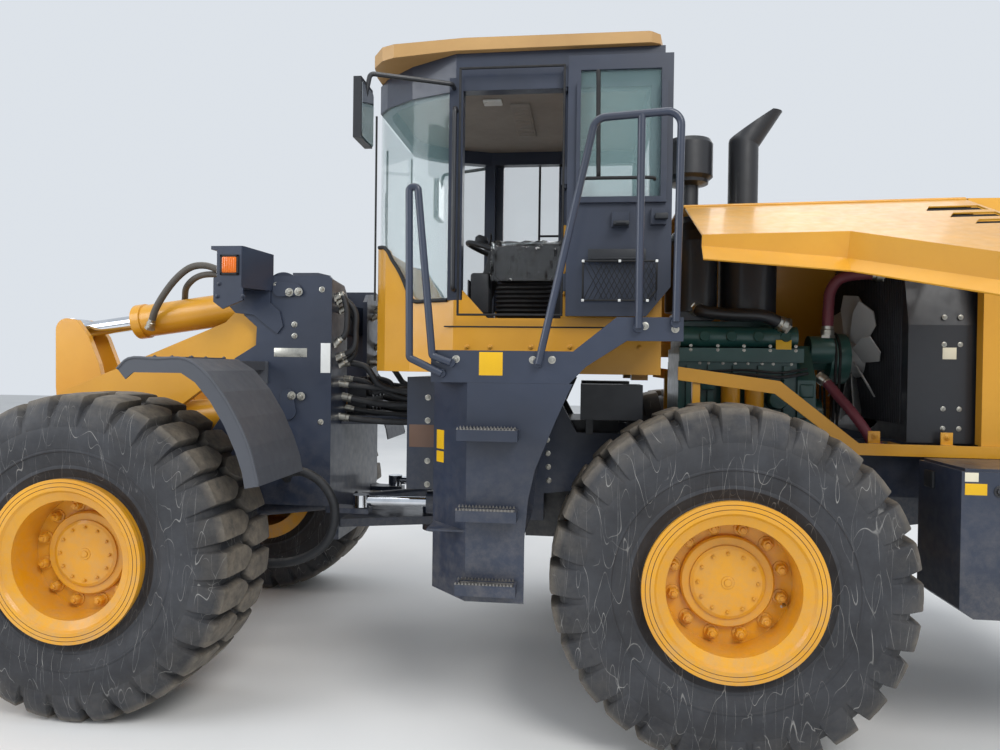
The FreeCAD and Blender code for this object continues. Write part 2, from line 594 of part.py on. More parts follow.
def make_rear():
    nodes["rear_frame"] = make_rear_frame()
    stub = rod((-AXLE_TO_PIVOT - 215, 0, HUB_Z), (-AXLE_TO_PIVOT - 310, 0, HUB_Z), 70)
    nodes["rear_axle"] = fuse(make_axle(-AXLE_TO_PIVOT, 1), stub)
    gearbox = fuse(box(-1100, -520, -290, 290, 1020, 1450), box(-1060, -560, -200, 200, 740, 1020),
                   box(-900, -780, -RAIL_Y, RAIL_Y, 1150, 1250))
    shaft = rod((-520, 0, SHAFT_Z), (-90, 0, SHAFT_Z), SHAFT_R)
    shaft = fuse(shaft, rod((-90, 0, SHAFT_Z), (-50, 0, SHAFT_Z), SHAFT_R + 10))
    flange = rod((-520, 0, SHAFT_Z), (-570, 0, SHAFT_Z), 70)
    rear_end = rod((-AXLE_TO_PIVOT + 350, 0, HUB_Z), (-1060, 0, HUB_Z), 52)
    nodes["transmission"] = fuse(gearbox, shaft, flange, rear_end)
    nodes["counterweight"] = make_counterweight()
    nodes["tow_hitch"] = make_tow_hitch()
    nodes["side_boxes"] = both_sides(make_side_box())
    nodes["rear_lamps"] = both_sides(box(HOOD_REAR - 85, HOOD_REAR - 60, 525, 625, 1610, 1710))
    nodes["sills"] = both_sides(make_sill())


HITCH_X = TAIL_X + 55
HITCH_Z = 640.0
HITCH_PIN_R = 26.0


def make_tow_hitch():
    """Towing jaw under the counterweight with an open bore for its drop pin."""
    x, root = HITCH_X, TAIL_X + 140
    jaw = []
    for z0 in (HITCH_Z - 70, HITCH_Z + 40):
        lug = plan_plate([(x, -48), (root, -110), (root, 110), (x, 48)], z0, z0 + 30)
        jaw.append(lug.fuse(Part.makeCylinder(48, 30, V(x, 0, z0))))
    back = box(root - 10, root + 40, -110, 110, HITCH_Z - 70, 760)
    shape = fuse(back, *jaw)
    return shape.cut(Part.makeCylinder(HITCH_PIN_R, 200, V(x, 0, HITCH_Z - 100)))


def make_side_box():
    """Closed tool box hung on the frame side behind the ladder."""
    y0 = RAIL_Y + RAIL_T
    body = box(-1205, -880, y0, SILL_Y, 1480, 1668)
    hanger = [box(x - 20, x + 20, y0, y0 + 120, 1390, 1480) for x in (-1160, -930)]
    return fuse(body, *hanger)


def make_sill():
    """Yellow band along the foot of the hood, stepping down behind the wheel."""
    outer = [(-1384, 1698), (-1874, 1634), (-2272, 1330), (-3640, 1324), (-3640, 1384), (-2290, 1390),
             (-1900, 1700),
             (-1384, 1768)]
    band = side_plate(outer, SILL_Y - 12, SILL_Y)
    legs = [box(x - 40, x, RAIL_Y + RAIL_T, SILL_Y - 12, 1340, 1380) for x in (-2500, -3300)]
    knee = box(-1500, -1460, RAIL_Y + RAIL_T, SILL_Y - 12, 1360, 1380)
    riser = box(-1500, -1460, SILL_Y - 52, SILL_Y - 12, 1380, 1740)
    return fuse(band, knee, riser, *legs)


def make_counterweight():
    """Cast tail block with slanted corners, and the long side boxes with a step's recess."""
    tail = [(TAIL_X, -1000), (TAIL_X, 1000), (-3640, 1200), (-3640, -1200)]
    block = plan_plate(tail, 800, 1560).cut(box(TAIL_X - 1, TAIL_X + 40, -1300, 1300, 1460, 1561))
    foot = side_plate([(TAIL_X + 60, 760), (TAIL_X, 800), (-3640, 800), (-3640, 760)], -1000, 1000)
    side = side_plate([(-2542, 1324), (-2542, 720), (-2600, 678), (-3100, 678), (-3640, 760), (-3640, 1324)],
                      790, 1200)
    side = side.cut(box(-3150, -2905, 1140, 1201, 880, 1010))
    lid = box(-3600, -2560, 800, 1190, 1324, 1336)
    half = [side, lid]
    return fuse(block, foot, box(-3640, -3600, -790, 790, 1080, 1324), *half, *[mirrored(h) for h in half])


# Cab: yellow lower shell, dark posts and beams, panes, roof cap, doors and what stands inside

CAB_WALL = 40.0
DOOR_HINGE = (-780.0, 789.0)
DOOR_HINGE_Z = (2150.0, 2700.0, 3200.0)
DOOR_W = 545.0
DOOR_Z0, DOOR_Z1 = 2020.0, 3350.0
DOOR_SILL_Z = 2625.0
CAB_CORNER = [(330, 300), (308, 420), (236, 520), (60, 650), (-200, CAB_Y), (CAB_REAR, CAB_Y)]
FASCIA_Z = 3285.0
ROOF_UNDER = [(300, 3372), (-200, 3412), (-1300, 3420)]
ROOF_TOP = [(-1280, 3430), (-1262, 3468), (-1200, 3478), (-250, 3478), (200, 3454), (262, 3440), (284, 3400),
            (284, 3374)]
SIDE_LINE = [(400, 2440), (300, 2440), (216, 2413), (120, 2240), (20, 2107), (-246, 2107), (-246, 2160),
             (-382, 2012),
             (-770, 2012), (-770, 2500), (CAB_REAR - 60, 2500)]


def inset_plan(d):
    """The cab's outline from above, moved inwards by d on every side."""
    line = [(330, 0)] + CAB_CORNER + [(CAB_REAR, 0)]
    half = offset_line(line, -d)[1:-1]
    return half + [(x, -y) for x, y in reversed(half)]


def cab_ring(d0, d1, z0, z1):
    return plan_plate(inset_plan(d0), z0, z1).cut(plan_plate(inset_plan(d1), z0, z1))


def below_side_line(z0, side_line):
    return side_plate(side_line + [(side_line[-1][0], z0), (side_line[0][0], z0)], -CAB_Y - 100, CAB_Y + 100)


def make_cab():
    low = below_side_line(CAB_FLOOR_Z - 10, SIDE_LINE)
    shell = cab_ring(0, CAB_WALL, CAB_FLOOR_Z, 2500)
    floor = plan_plate(inset_plan(CAB_WALL), CAB_FLOOR_Z, CAB_FLOOR_Z + 40)
    mounts = [box(x, x + 90, y - 45, y + 45, 1690, CAB_FLOOR_Z) for x in (-1250, -240) for y in (-420, 420)]
    low_lug, *high_lugs = [make_door_lugs(z) for z in DOOR_HINGE_Z]
    nodes["cab_shell"] = fuse(shell.common(low), floor, low_lug, mirrored(low_lug), *mounts)
    y0, y1 = CAB_Y - POST, CAB_Y
    a_post = box(-240, -165, y0, y1, 2107, FASCIA_Z)
    beam = cab_ring(0, POST, FASCIA_Z - 70, 3440)
    beam = beam.common(side_plate(ROOF_UNDER + [(-1300, 3000), (300, 3000)], -900, 900))
    posts = [a_post, box(-850, -770, y0, y1, 2012, FASCIA_Z),
             box(CAB_REAR, CAB_REAR + 70, y0, y1, 2450, FASCIA_Z)]
    posts = [p.cut(nodes["cab_shell"]) for p in posts] + high_lugs
    rear_low = box(CAB_REAR, CAB_REAR + CAB_WALL, -y0, y0, 2500, 2560)
    nodes["cab_frame"] = fuse(beam, rear_low, *posts, *[mirrored(p) for p in posts])
    ceiling = plan_plate(inset_plan(POST), FASCIA_Z + 20, FASCIA_Z + 50)
    nodes["cab_ceiling"] = ceiling
    outline = [(284, 0), (284, 560), (262, 690), (200, 765), (130, 790), (-1215, 790), (-1262, 765),
               (-1280, 715), (-1280, 0)]
    outline = outline + [(x, -y) for x, y in reversed(outline[1:-1])]
    cap = plan_plate(outline, 3360, 3500).common(side_plate(ROOF_TOP + [(284, 3373.4), (-200, 3412.1),
                                                                        (-1280, 3420.0)],
                                                            -900, 900))
    base = Part.makeCylinder(58, 30, V(60, 420, 3440))
    eye = side_plate([(-34, 3440), (-22, 3512), (22, 3512), (34, 3440)], -6,
                     6).cut(pin_y((0, 3490), 13, -6, 6))
    eyes = [eye.translated(V(x, y, 0)) for x in (-130, -930) for y in (520, -520)]
    nodes["cab_roof"] = fuse(cap, base, *eyes)
    dome = Part.makeCylinder(50, 52, V(60, 420, 3470)).fuse(Part.makeCone(50, 34, 22, V(60, 420, 3522)))
    nodes["beacon"] = dome.removeSplitter()
    pane = cab_ring(12, 12 + GLASS_T, 2012, FASCIA_Z - 70)
    front = pane.common(box(-163, 400, -CAB_Y, CAB_Y, 2012, FASCIA_Z)).cut(low)
    rear = box(CAB_REAR + 12, CAB_REAR + 12 + GLASS_T, -y0, y0, 2560, FASCIA_Z - 70)
    quarter = box(CAB_REAR + 70, -850, CAB_Y - 20, CAB_Y - 12, 2500, FASCIA_Z - 70)
    nodes["cab_glass"] = together(front, rear, quarter, mirrored(quarter))


def make_door():
    """Door leaf and pane as they stand closed on the left side."""
    x0, x1 = DOOR_HINGE[0] + 16, DOOR_HINGE[0] + DOOR_W
    y0, y1 = CAB_Y + 3, CAB_Y + 35
    leaf = side_plate([(x0, DOOR_Z0), (x1 - 120, DOOR_Z0), (x1, DOOR_Z0 + 150), (x1, DOOR_Z1), (x0, DOOR_Z1)],
                      y0, y1)
    hole = box(x0 + 65, x1 - 60, y0, y1, DOOR_SILL_Z, DOOR_Z1 - 75)
    leaf = leaf.cut(hole)
    inner = box(x0 + 45, x1 - 30, y0 - 22, y0, DOOR_SILL_Z - 30, FASCIA_Z - 80)
    inner = inner.cut(box(x0 + 65, x1 - 60, y0 - 22, y0, DOOR_SILL_Z, FASCIA_Z - 80))
    latches = [box(x1 - 105, x1 - 30, y0 - 40, y0, 2480, 2560),
               box(x1 - 300, x1 - 215, y0 - 34, y0, 2470, 2545)]
    leaf = leaf.fuse([inner] + latches)
    for z in DOOR_HINGE_Z:
        tab = box(DOOR_HINGE[0], x0 + 10, y1 - 12, y1, z, z + 90)
        barrel = Part.makeCylinder(14, 90, V(DOOR_HINGE[0], DOOR_HINGE[1], z))
        bore = Part.makeCylinder(8 + RUN_GAP, 90, V(DOOR_HINGE[0], DOOR_HINGE[1], z))
        leaf = leaf.fuse([tab, barrel]).cut(bore)
    pane = box(x0 + 65, x1 - 60, y0 + 12, y0 + 12 + GLASS_T, DOOR_SILL_Z, DOOR_Z1 - 75)
    return leaf.removeSplitter(), pane


def make_door_lugs(z):
    """Hinge pin and its two lugs on the cab's side, for one door barrel."""
    x, y = DOOR_HINGE
    lugs = [box(x - 10, x + 10, CAB_Y, y + 12, a, a + 18) for a in (z - 18 - RUN_GAP, z + 90 + RUN_GAP)]
    return fuse(Part.makeCylinder(8, 90 + 2 * RUN_GAP + 36, V(x, y, z - 18 - RUN_GAP)), *lugs)


def make_doors():
    leaf, pane = make_door()
    for name, shape in (("cab_door", leaf), ("door_glass", pane)):
        opened = shape.copy()
        opened.rotate(V(DOOR_HINGE[0], DOOR_HINGE[1], 0), Z_AXIS, 180)
        nodes[name + "_left"] = opened
        nodes[name + "_right"] = mirrored(shape)


def make_interior():
    z = CAB_FLOOR_Z + 40
    base = box(-1000, -620, -230, 230, z, z + 330)
    nodes["seat_base"] = fuse(base, box(-980, -560, 260, 380, z, z + 620),
                              box(-980, -560, -400, -260, z, z + 700))
    cushion = box(-1040, -560, -240, 240, z + 330, z + 450)
    back = side_plate([(-1140, z + 400), (-1040, z + 400), (-1100, z + 1000), (-1200, z + 1000)], -230, 230)
    nodes["seat"] = fuse(cushion, back, side_plate([(-1100, z + 330), (-1040, z + 330), (-1040, z + 460),
                                                    (-1130, z + 460)], -230, 230))
    column = rod((-130, 0, z + 30), (-336, 0, z + 662), 55)
    dash = fuse(box(-40, 200, -200, 200, z, z + 330), box(-200, -40, -120, 120, z, z + 110))
    wheel = Part.makeTorus(200, 16, V(-345, 0, z + 700), V(-0.35, 0, 0.94))
    spokes = Part.makeCylinder(60, 50, V(-335, 0, z + 660), V(-0.35, 0, 0.94))
    arms = [rod((-345, 0, z + 695), (-345 + 0, s * 195, z + 697), 12) for s in (1, -1)]
    nodes["steering_console"] = fuse(column, dash, spokes, wheel, *arms)


# Platforms with their side plates, ladders, rails and mirrors

def make_platform():
    y0, y1 = PLATFORM_Y - 12, PLATFORM_Y
    plate = side_plate([(-204, 1827), (-846, 1827), (-1037, 1981), (-1326, 1981), (-1326, 1876),
                        (-1082, 1876), (-904, 1759),
                        (-830, 1681), (-204, 1681)], y0, y1)
    deck = box(-846, -204, CAB_Y + 10, y0, 1780, 1800)
    slope = side_plate([(-846, 1780), (-846, 1800), (-1040, 1960), (-1326, 1960), (-1326, 1940),
                        (-1048, 1940)], CAB_Y + 10, y0)
    front = box(-216, -204, CAB_Y + 10, y0, 1681, 1780)
    brace = [box(x - 40, x, RAIL_Y + RAIL_T, y0, 1640, 1681) for x in (-380, -650)]
    return fuse(plate, deck, slope, front, *brace)


def make_ladder():
    y = PLATFORM_Y
    face = [(-373, LADDER_BOTTOM), (-373, 1681), (-846, 1681), (-775, 1520), (-684, 1294), (-655, 1159),
            (-640, 980),
            (-640, LADDER_BOTTOM)]
    panel = side_plate(face, y - 10, y)
    chamfer = plan_plate([(-180, 1127), (-373, y), (-373, y - 14), (-190, 1121)], LADDER_BOTTOM, 1681)
    inner = box(-190, -180, 800, 1127, 900, 1681)
    back = side_plate([(-190, 1000), (-190, 1640), (-700, 1640), (-655, 1159), (-640, 1000)], 800, 810)
    closing = box(-640, -190, 810, y - 10, 1000, 1010)
    steps = []
    for z in (1475, 1118, 790):
        tray = box(-610, -340, y, y + 90, z - 50, z).cut(box(-600, -350, y + 8, y + 82, z - 10, z))
        steps.append(tray.cut(box(-600, -350, y, y + 82, z - 50, z - 18)))
    return fuse(panel, chamfer, inner, back, closing, *steps)


def make_all_rails():
    y = PLATFORM_Y + 26
    r = 17.0
    front = bent_tube([(-300, y, 1770), (-215, y, 1800), (-140, y, 2560), (-100, y, 2560), (-110, y, 1790),
                       (-260, y, 1720)], r, 18)
    rear = bent_tube([(-693, y, 1767), (-930, y, 2850), (-1300, y, 2875), (-1290, y, 1960)], r, 60)
    mid = rod((-1130, y, 1930), (-1130, y, 2862), r)
    pads = [rod((-693, PLATFORM_Y, 1775), (-693, y, 1775), 22), rod((-1130, PLATFORM_Y, 1935),
                                                                    (-1130, y, 1935), 22),
            rod((-1290, PLATFORM_Y, 1955), (-1290, y, 1955), 22), rod((-300, PLATFORM_Y, 1770),
                                                                      (-300, y, 1770), 20),
            rod((-255, PLATFORM_Y, 1722), (-255, y, 1722), 20)]
    one = together(fuse(front, *pads[3:]), fuse(rear, mid, *pads[:3]))
    nodes["handrails"] = together(one, mirrored(one))
    arm = bent_tube([(-190, CAB_Y, 3230), (-190, CAB_Y + 60, 3230), (200, CAB_Y + 230, 3230),
                     (235, CAB_Y + 230, 3060)], 12, 25)
    glass = box(215, 255, CAB_Y + 130, CAB_Y + 330, 2880, 3180)
    grab = bent_tube([(-205, CAB_Y, 3110), (-205, CAB_Y + 60, 3110), (-205, CAB_Y + 60, 2160),
                      (-205, CAB_Y, 2160)], 12, 22)
    nodes["mirrors"] = both_sides(together(fuse(arm, glass), grab))


# Hood, engine and cooling

HINGE_RISE = 25.0
LID_REAR = -2870.0


def hinge_z(x):
    return HINGE_Z + (HOOD_FRONT - x) / (HOOD_FRONT - LID_REAR) * HINGE_RISE


def make_hood():
    """Fixed spine between the two lids' hinge lines, then the rear hood with its grille and posts."""
    rows = []
    for x in (HOOD_FRONT, LID_REAR, HOOD_REAR):
        z = hinge_z(x) if x > HOOD_REAR else hinge_z(LID_REAR) - 30
        half = [(HINGE_Y, z - 6), (HINGE_Y, z + 5), (330, z + 34), (120, z + 44)]
        outline = half + [(-y, h) for y, h in reversed(half)] + [(-330, z + 24), (-120, z + 34),
                                                                 (120, z + 34), (330, z + 24)]
        rows.append(Part.makePolygon([V(x, y, h) for y, h in outline + [outline[0]]]))
    spine = Part.makeLoft(rows, True, True)
    holes = [rod((-1840, 0, 2500), (-1840, 0, 2900), 108), rod((-1515, 0, 2500), (-1515, 0, 2900), 74)]
    spine = spine.cut(holes[0]).cut(holes[1])
    noses = []
    for sign in (1, -1):
        a = (HOOD_FRONT, sign * HINGE_Y, hinge_z(HOOD_FRONT))
        b = (LID_REAR, sign * HINGE_Y, hinge_z(LID_REAR))
        noses.append(rod(a, b, HINGE_NOSE))
    z = hinge_z(LID_REAR)
    cheek = cross_plate([(SILL_Y - 50, 2380), (SILL_Y - 20, 2380), (HINGE_Y + 4, z + 4),
                         (HINGE_Y - 30, z - 6)],
                        HOOD_REAR - 60, LID_REAR - 12)
    keep = side_plate([(LID_REAR - 12, 1380), (LID_REAR - 12, 2400), (HOOD_REAR - 60, 2380),
                       (HOOD_REAR - 60, 1565),
                       (HOOD_REAR + 5, 1565), (HOOD_REAR + 5, 1380)], SILL_Y - 50, SILL_Y - 20)
    hood_cut = side_plate([(LID_REAR, 1300), (LID_REAR, z + 80), (HOOD_REAR, z + 20), (HOOD_REAR - 60, 2420),
                           (HOOD_REAR - 60, 1300)], -900, 900)
    cheek = cheek.common(hood_cut)
    post = box(LID_REAR - 92, LID_REAR - 12, SILL_Y - 80, SILL_Y - 50, 1390, 2400)
    rear = box(HOOD_REAR - 60, HOOD_REAR - 20, -SILL_Y + 50, SILL_Y - 50, 1565, 2430)
    rear = rear.cut(box(HOOD_REAR - 70, HOOD_REAR - 10, -480, 480, 1690, 2330))
    slats = [box(HOOD_REAR - 56, HOOD_REAR - 24, -480, 480, z0, z0 + 26) for z0 in range(1725, 2320, 75)]
    bars = [box(HOOD_REAR - 50, HOOD_REAR - 30, y - 12, y + 12, 1690, 2330) for y in (-240, 0, 240)]
    brow = side_plate([(HOOD_REAR - 60, 2430), (HOOD_REAR - 60, 2380), (HOOD_REAR - 20, 2380),
                       (HOOD_REAR, z - 36),
                       (HOOD_REAR - 6, z - 20)], -HINGE_Y, HINGE_Y)
    half = [keep, cheek, post]
    nodes["hood_roof"] = fuse(spine, rear, brow, *noses, *slats, *bars, *half, *[mirrored(h) for h in half])


LID_SLOPE = 74.0
LID_SHEET = 8.0
# stations along the lid: x, hinge to crease, ledge, skirt
LID_STATIONS = [(HOOD_FRONT - 6, 725.0, 50.0, 88.0), (-2076.0, 725.0, 120.0, 84.0),
                (-2500.0, 1180.0, 106.0, 86.0),
                (LID_REAR, 1180.0, 106.0, 86.0)]


def lid_section(x, crease, ledge, skirt):
    """Closed outline of the lid's sheet at one station, as it hangs closed."""
    tilt = radians(28)
    line = [(HINGE_NOSE + RUN_GAP, 0.0), (crease, 0.0), (crease + 8, -ledge),
            (crease + 8 + skirt * cos(tilt), -ledge - skirt * sin(tilt))]
    other = offset_line(line, LID_SHEET)
    slope = radians(LID_SLOPE)
    points = []
    for u, v in line + list(reversed(other)):
        points.append(V(x, HINGE_Y + cos(slope) * u + sin(slope) * v,
                        hinge_z(x) - sin(slope) * u + cos(slope) * v))
    return Part.makePolygon(points + [points[0]])


def make_lid():
    """Left gull-wing lid as it hangs closed, with louvre slots and its end flanges."""
    lid = Part.makeLoft([lid_section(*st) for st in LID_STATIONS], True, True)
    slope = radians(LID_SLOPE)
    for x0, x1, u0, u1 in ((-2850, -2560, 180, 300), (-2850, -2600, 360, 470), (-2850, -2640, 530, 630)):
        corners = []
        for x, u in ((x0, u0), (x1 - 60, u0), (x1, u1), (x0, u1)):
            corners.append(V(x, HINGE_Y + cos(slope) * u - 40 * sin(slope),
                             hinge_z(x) - sin(slope) * u - 40 * cos(slope)))
        lid = lid.cut(flat(corners, V(0, 80 * sin(slope), 80 * cos(slope))))
    return lid


def make_doors_hood():
    door = make_lid()
    opened = door.copy()
    hinge = V(LID_REAR - HOOD_FRONT, 0, HINGE_RISE) * -1
    opened.rotate(V(HOOD_FRONT, HINGE_Y, HINGE_Z), hinge, HOOD_OPEN)
    nodes["hood_door_left"] = opened
    nodes["hood_door_right"] = mirrored(door)


def make_engine():
    block = box(-2100, -1440, -270, 270, 1420, 1800)
    deck = box(-2130, -1440, -250, 300, 1800, 1880)
    head = box(-2110, -1450, -210, 200, 1880, 1990)
    cover = box(-2080, -1480, -180, 150, 1990, 2040)
    manifold = rod((-2100, 235, 1945), (-1450, 235, 1945), 62)
    sump = side_plate([(-2060, 1420), (-2060, 1250), (-1900, 1180), (-1600, 1180), (-1500, 1300),
                       (-1500, 1420)], -230, 230)
    ribs = [box(x - 18, x + 18, 270, 292, 1450, 1780) for x in (-2040, -1900, -1760, -1620, -1500)]
    feet = [box(x - 90, x, -RAIL_Y, RAIL_Y, 1250, 1330) for x in (-1560, -1980)]
    housing = cross_plate([(-280, 1440), (-280, 1700), (-160, 1900), (160, 1900), (290, 1700), (290, 1440),
                           (160, 1330),
                           (-160, 1330)], -2200, -2100)
    pump = rod((-2200, 120, 1880), (-2330, 120, 1880), 80)
    low = rod((-2200, 0, 1480), (-2300, 0, 1480), 110)
    pulley = rod((-2200, 0, FAN_Z), (-2440, 0, FAN_Z), 70)
    drum = rod((-2330, 0, FAN_Z), (-2440, 0, FAN_Z), 150)
    alternator = rod((-2120, -330, 1700), (-2300, -330, 1700), 75)
    arm = box(-2200, -2130, -330, -250, 1640, 1700)
    nodes["engine"] = fuse(block, deck, head, cover, manifold, sump, housing, pump, low, pulley, drum,
                           alternator, arm,
                           *ribs, *feet)
    filter_can = rod((-1520, 150, 2090), (-1520, 150, 2500), 150)
    dome = Part.makeCone(150, 110, 60, V(-1520, 150, 2500), Z_AXIS)
    elbow = rod((-1515, 80, 2480), (-1515, 0, 2640), 58)
    pre = turned_z([(0, 2850), (62, 2850), (62, 2872), (118, 2885), (122, 2905), (145, 2925), (145, 3120),
                    (132, 3147),
                    (0, 3147)], -1515, 0)
    nodes["air_cleaner"] = fuse(box(-1640, -1430, -120, 260, 2040, 2090), filter_can, dome, elbow,
                                rod((-1515, 0, 2600), (-1515, 0, 2872), 62), pre)
    muffler = rod((-1850, 110, 2090), (-1850, 110, 2520), 165)
    cone = Part.makeCone(165, 95, 60, V(-1850, 110, 2520), Z_AXIS)
    elbow_at = (-1840, 0, 3130)
    tip = fuse(rod((-1840, 0, 2540), elbow_at, 88), rod(elbow_at, (-1990, 0, 3363), 88),
               Part.makeSphere(88, V(*elbow_at)))
    tip = tip.cut(side_plate([(-2300, 3312), (-1992, 3312), (-1752, 3152), (-1600, 3152), (-1600, 3700),
                              (-2300, 3700)],
                             -200, 200))
    nodes["exhaust"] = fuse(muffler, cone, box(-1960, -1730, -60, 260, 2040, 2090), tip)
    core = cross_plate([(-600, 1390), (600, 1390), (600, 2000), (470, 2560), (-470, 2560), (-600, 2000)],
                       -3560, -2760)
    shroud = cross_plate([(-600, 1390), (600, 1390), (600, 2000), (470, 2560), (-470, 2560), (-600, 2000)],
                         -2760, -2560)
    shroud = shroud.cut(rod((-2570, 0, FAN_Z), (-2540, 0, FAN_Z), 420)).cut(rod((-2700, 0, FAN_Z),
                                                                                (-2540, 0, FAN_Z), 420))
    strap = box(-2960, -2900, 600, 616, 1400, 1990)
    nodes["radiator"] = fuse(core, shroud, strap, mirrored(strap))


def make_fan():
    """Hub and nine swept paddle blades set at an angle to the airflow."""
    hub = rod((-2440 - RUN_GAP, 0, 0), (-2530, 0, 0), 112)
    outline = [(-46, 100), (-62, 200), (-78, 300), (-60, FAN_R), (40, FAN_R - 12), (82, 300), (64, 190),
               (44, 100)]
    blade = flat([V(-2492, y, z) for y, z in outline], V(7, 0, 0))
    blade.rotate(V(-2488, 0, 0), Z_AXIS, 33)
    blades = []
    for i in range(FAN_BLADES):
        one = blade.copy()
        one.rotate(V(0, 0, 0), X_AXIS, i * 360.0 / FAN_BLADES)
        blades.append(one)
    nodes["fan"] = fuse(hub, *blades).translated(V(0, 0, FAN_Z))


make_wheels()
make_front()
nodes["boom"] = make_boom()
nodes["bell_crank"] = make_bell_crank()
nodes["link"] = make_link()
nodes["bucket"] = make_bucket()
nodes["bucket_teeth"] = make_bucket_teeth()
make_cylinders()
make_rear()
make_cab()
make_doors()
make_interior()
nodes["platforms"] = both_sides(make_platform())
nodes["ladders"] = both_sides(make_ladder())
make_all_rails()
make_hood()
make_doors_hood()
make_engine()
make_fan()

os.makedirs("parts", exist_ok=True)
for name, shape in nodes.items():
    shape.translated(V(SHIFT_X, SHIFT_Y, 0)).exportStep("parts/" + name + ".step")
    print(name, round(shape.Volume / 1e9, 4), shape.isValid(), len(shape.Solids))
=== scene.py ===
# %% [markdown]
# # Dressing a wheel loader
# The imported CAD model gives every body, joint and size. This lesson dresses it: procedural paints, rubber and glass
# first, then the small forms that a plain solid leaves out. Lengths are in metres unless a name ends in mm, +X is
# forwards and +Y is the driver's left.

# %% Load the frame
import json
from math import cos, pi, radians, sin

import bmesh
import bpy
import numpy as np
from mathutils import Matrix, Vector


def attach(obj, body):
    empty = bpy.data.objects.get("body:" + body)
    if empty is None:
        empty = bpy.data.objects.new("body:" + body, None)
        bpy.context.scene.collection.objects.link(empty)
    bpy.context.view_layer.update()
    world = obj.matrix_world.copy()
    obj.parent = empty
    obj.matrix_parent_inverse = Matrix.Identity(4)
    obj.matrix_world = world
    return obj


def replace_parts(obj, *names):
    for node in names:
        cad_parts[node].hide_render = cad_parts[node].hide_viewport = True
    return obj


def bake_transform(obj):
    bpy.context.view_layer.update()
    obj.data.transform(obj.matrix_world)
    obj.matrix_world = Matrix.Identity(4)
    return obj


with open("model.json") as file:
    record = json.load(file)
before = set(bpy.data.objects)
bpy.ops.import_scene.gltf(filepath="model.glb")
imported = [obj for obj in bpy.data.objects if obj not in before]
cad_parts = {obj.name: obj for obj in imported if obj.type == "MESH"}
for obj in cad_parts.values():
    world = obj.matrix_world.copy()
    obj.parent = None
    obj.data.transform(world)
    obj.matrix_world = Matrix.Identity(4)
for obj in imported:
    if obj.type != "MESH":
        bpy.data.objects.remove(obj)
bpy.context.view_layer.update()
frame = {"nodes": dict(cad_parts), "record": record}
nodes = frame["nodes"]

# %% [markdown]
# ## Camera and studio
# The camera was fitted to the wheels, rims and cab of the photograph. The focal length is in pixels of a picture 1000
# wide, so the lens follows from the sensor's 36 mm. Everything below is measured from the steering axis, and SHIFT says
# where that axis stands in the frame.

# %% Camera
SHIFT = np.array([-0.125, -0.05445, 0.0])
YAW, PITCH, ROLL, FOCAL_PX = 0.11292736, -0.01061933, 0.01329867, 733.1403


def make_camera():
    at = Vector(np.array([-0.892295, 4.605641, 1.752555]) + SHIFT)
    ahead = Vector((sin(YAW) * cos(PITCH), -cos(YAW) * cos(PITCH), sin(PITCH)))
    right = ahead.cross(Vector((0, 0, 1))).normalized()
    up = right.cross(ahead)
    side, top = right * cos(ROLL) + up * sin(ROLL), up * cos(ROLL) - right * sin(ROLL)
    data = bpy.data.cameras.new("photo_camera")
    data.sensor_width = 36.0
    data.lens = 36.0 * FOCAL_PX / 1000.0
    data.clip_end = 200.0
    camera = bpy.data.objects.new("photo_camera", data)
    camera.matrix_world = Matrix.Translation(at) @ Matrix((side, top, -ahead)).transposed().to_4x4()
    bpy.context.scene.collection.objects.link(camera)
    bpy.context.scene.camera = camera


make_camera()
bpy.context.scene.view_settings.view_transform = "Standard"

# %% [markdown]
# A machine this size is lit like a showroom: one broad key from the camera's side, a fill, a back light for the roof
# edges, and an even world, so that a colour renders about as it is written.


# %% Lights
def area_light(name, at, target, size, power, colour=(1, 1, 1)):
    data = bpy.data.lights.new(name, "AREA")
    data.shape, data.size, data.energy, data.color = "DISK", size, power, colour
    lamp = bpy.data.objects.new(name, data)
    lamp.location = at
    lamp.rotation_euler = (Vector(target) - Vector(at)).to_track_quat("-Z", "Y").to_euler()
    bpy.context.scene.collection.objects.link(lamp)


area_light("key", (-5.0, 7.5, 8.5), (0, 0, 1.2), 5.0, 620, (1.0, 0.98, 0.95))
area_light("fill", (7.0, 5.0, 4.5), (0.5, 0, 1.2), 5.0, 300, (0.95, 0.97, 1.0))
area_light("back", (-3.0, -8.0, 7.0), (0, 0, 1.5), 8.0, 230)
area_light("overhead", (0.5, 0.0, 10.0), (0, 0, 0), 8.0, 230)
world = bpy.data.worlds.new("studio")
bpy.context.scene.world = world
world.use_nodes = True
print("lamps", len(bpy.data.lights))

# %% [markdown]
# ## Materials
# One function adds a node with its settings and links. Colours are sRGB hex values turned to linear light, and the
# scale of every pattern is worked out from a real size in millimetres.


# %% Node helpers
def linear(code):
    """Linear colour of an sRGB hex value."""
    c = np.array([int(code[i:i + 2], 16) / 255 for i in (0, 2, 4)])
    return (*np.where(c <= 0.04045, c / 12.92, ((c + 0.055) / 1.055) ** 2.4), 1.0)


def per_mm(size):
    """Texture scale at which one cell of the pattern is this many millimetres across."""
    return 1000.0 / size


def feed(node, inputs):
    for key, value in inputs.items():
        if isinstance(value, bpy.types.NodeSocket):
            node.id_data.links.new(value, node.inputs[key])
        else:
            node.inputs[key].default_value = value


def add(tree, kind, inputs, give=None, **settings):
    """Adds one node and returns its named output, or the first one in use."""
    node = tree.nodes.new("ShaderNode" + kind)
    for key, value in settings.items():
        setattr(node, key, value)
    feed(node, inputs)
    return node.outputs[give] if give else next(o for o in node.outputs if o.enabled)


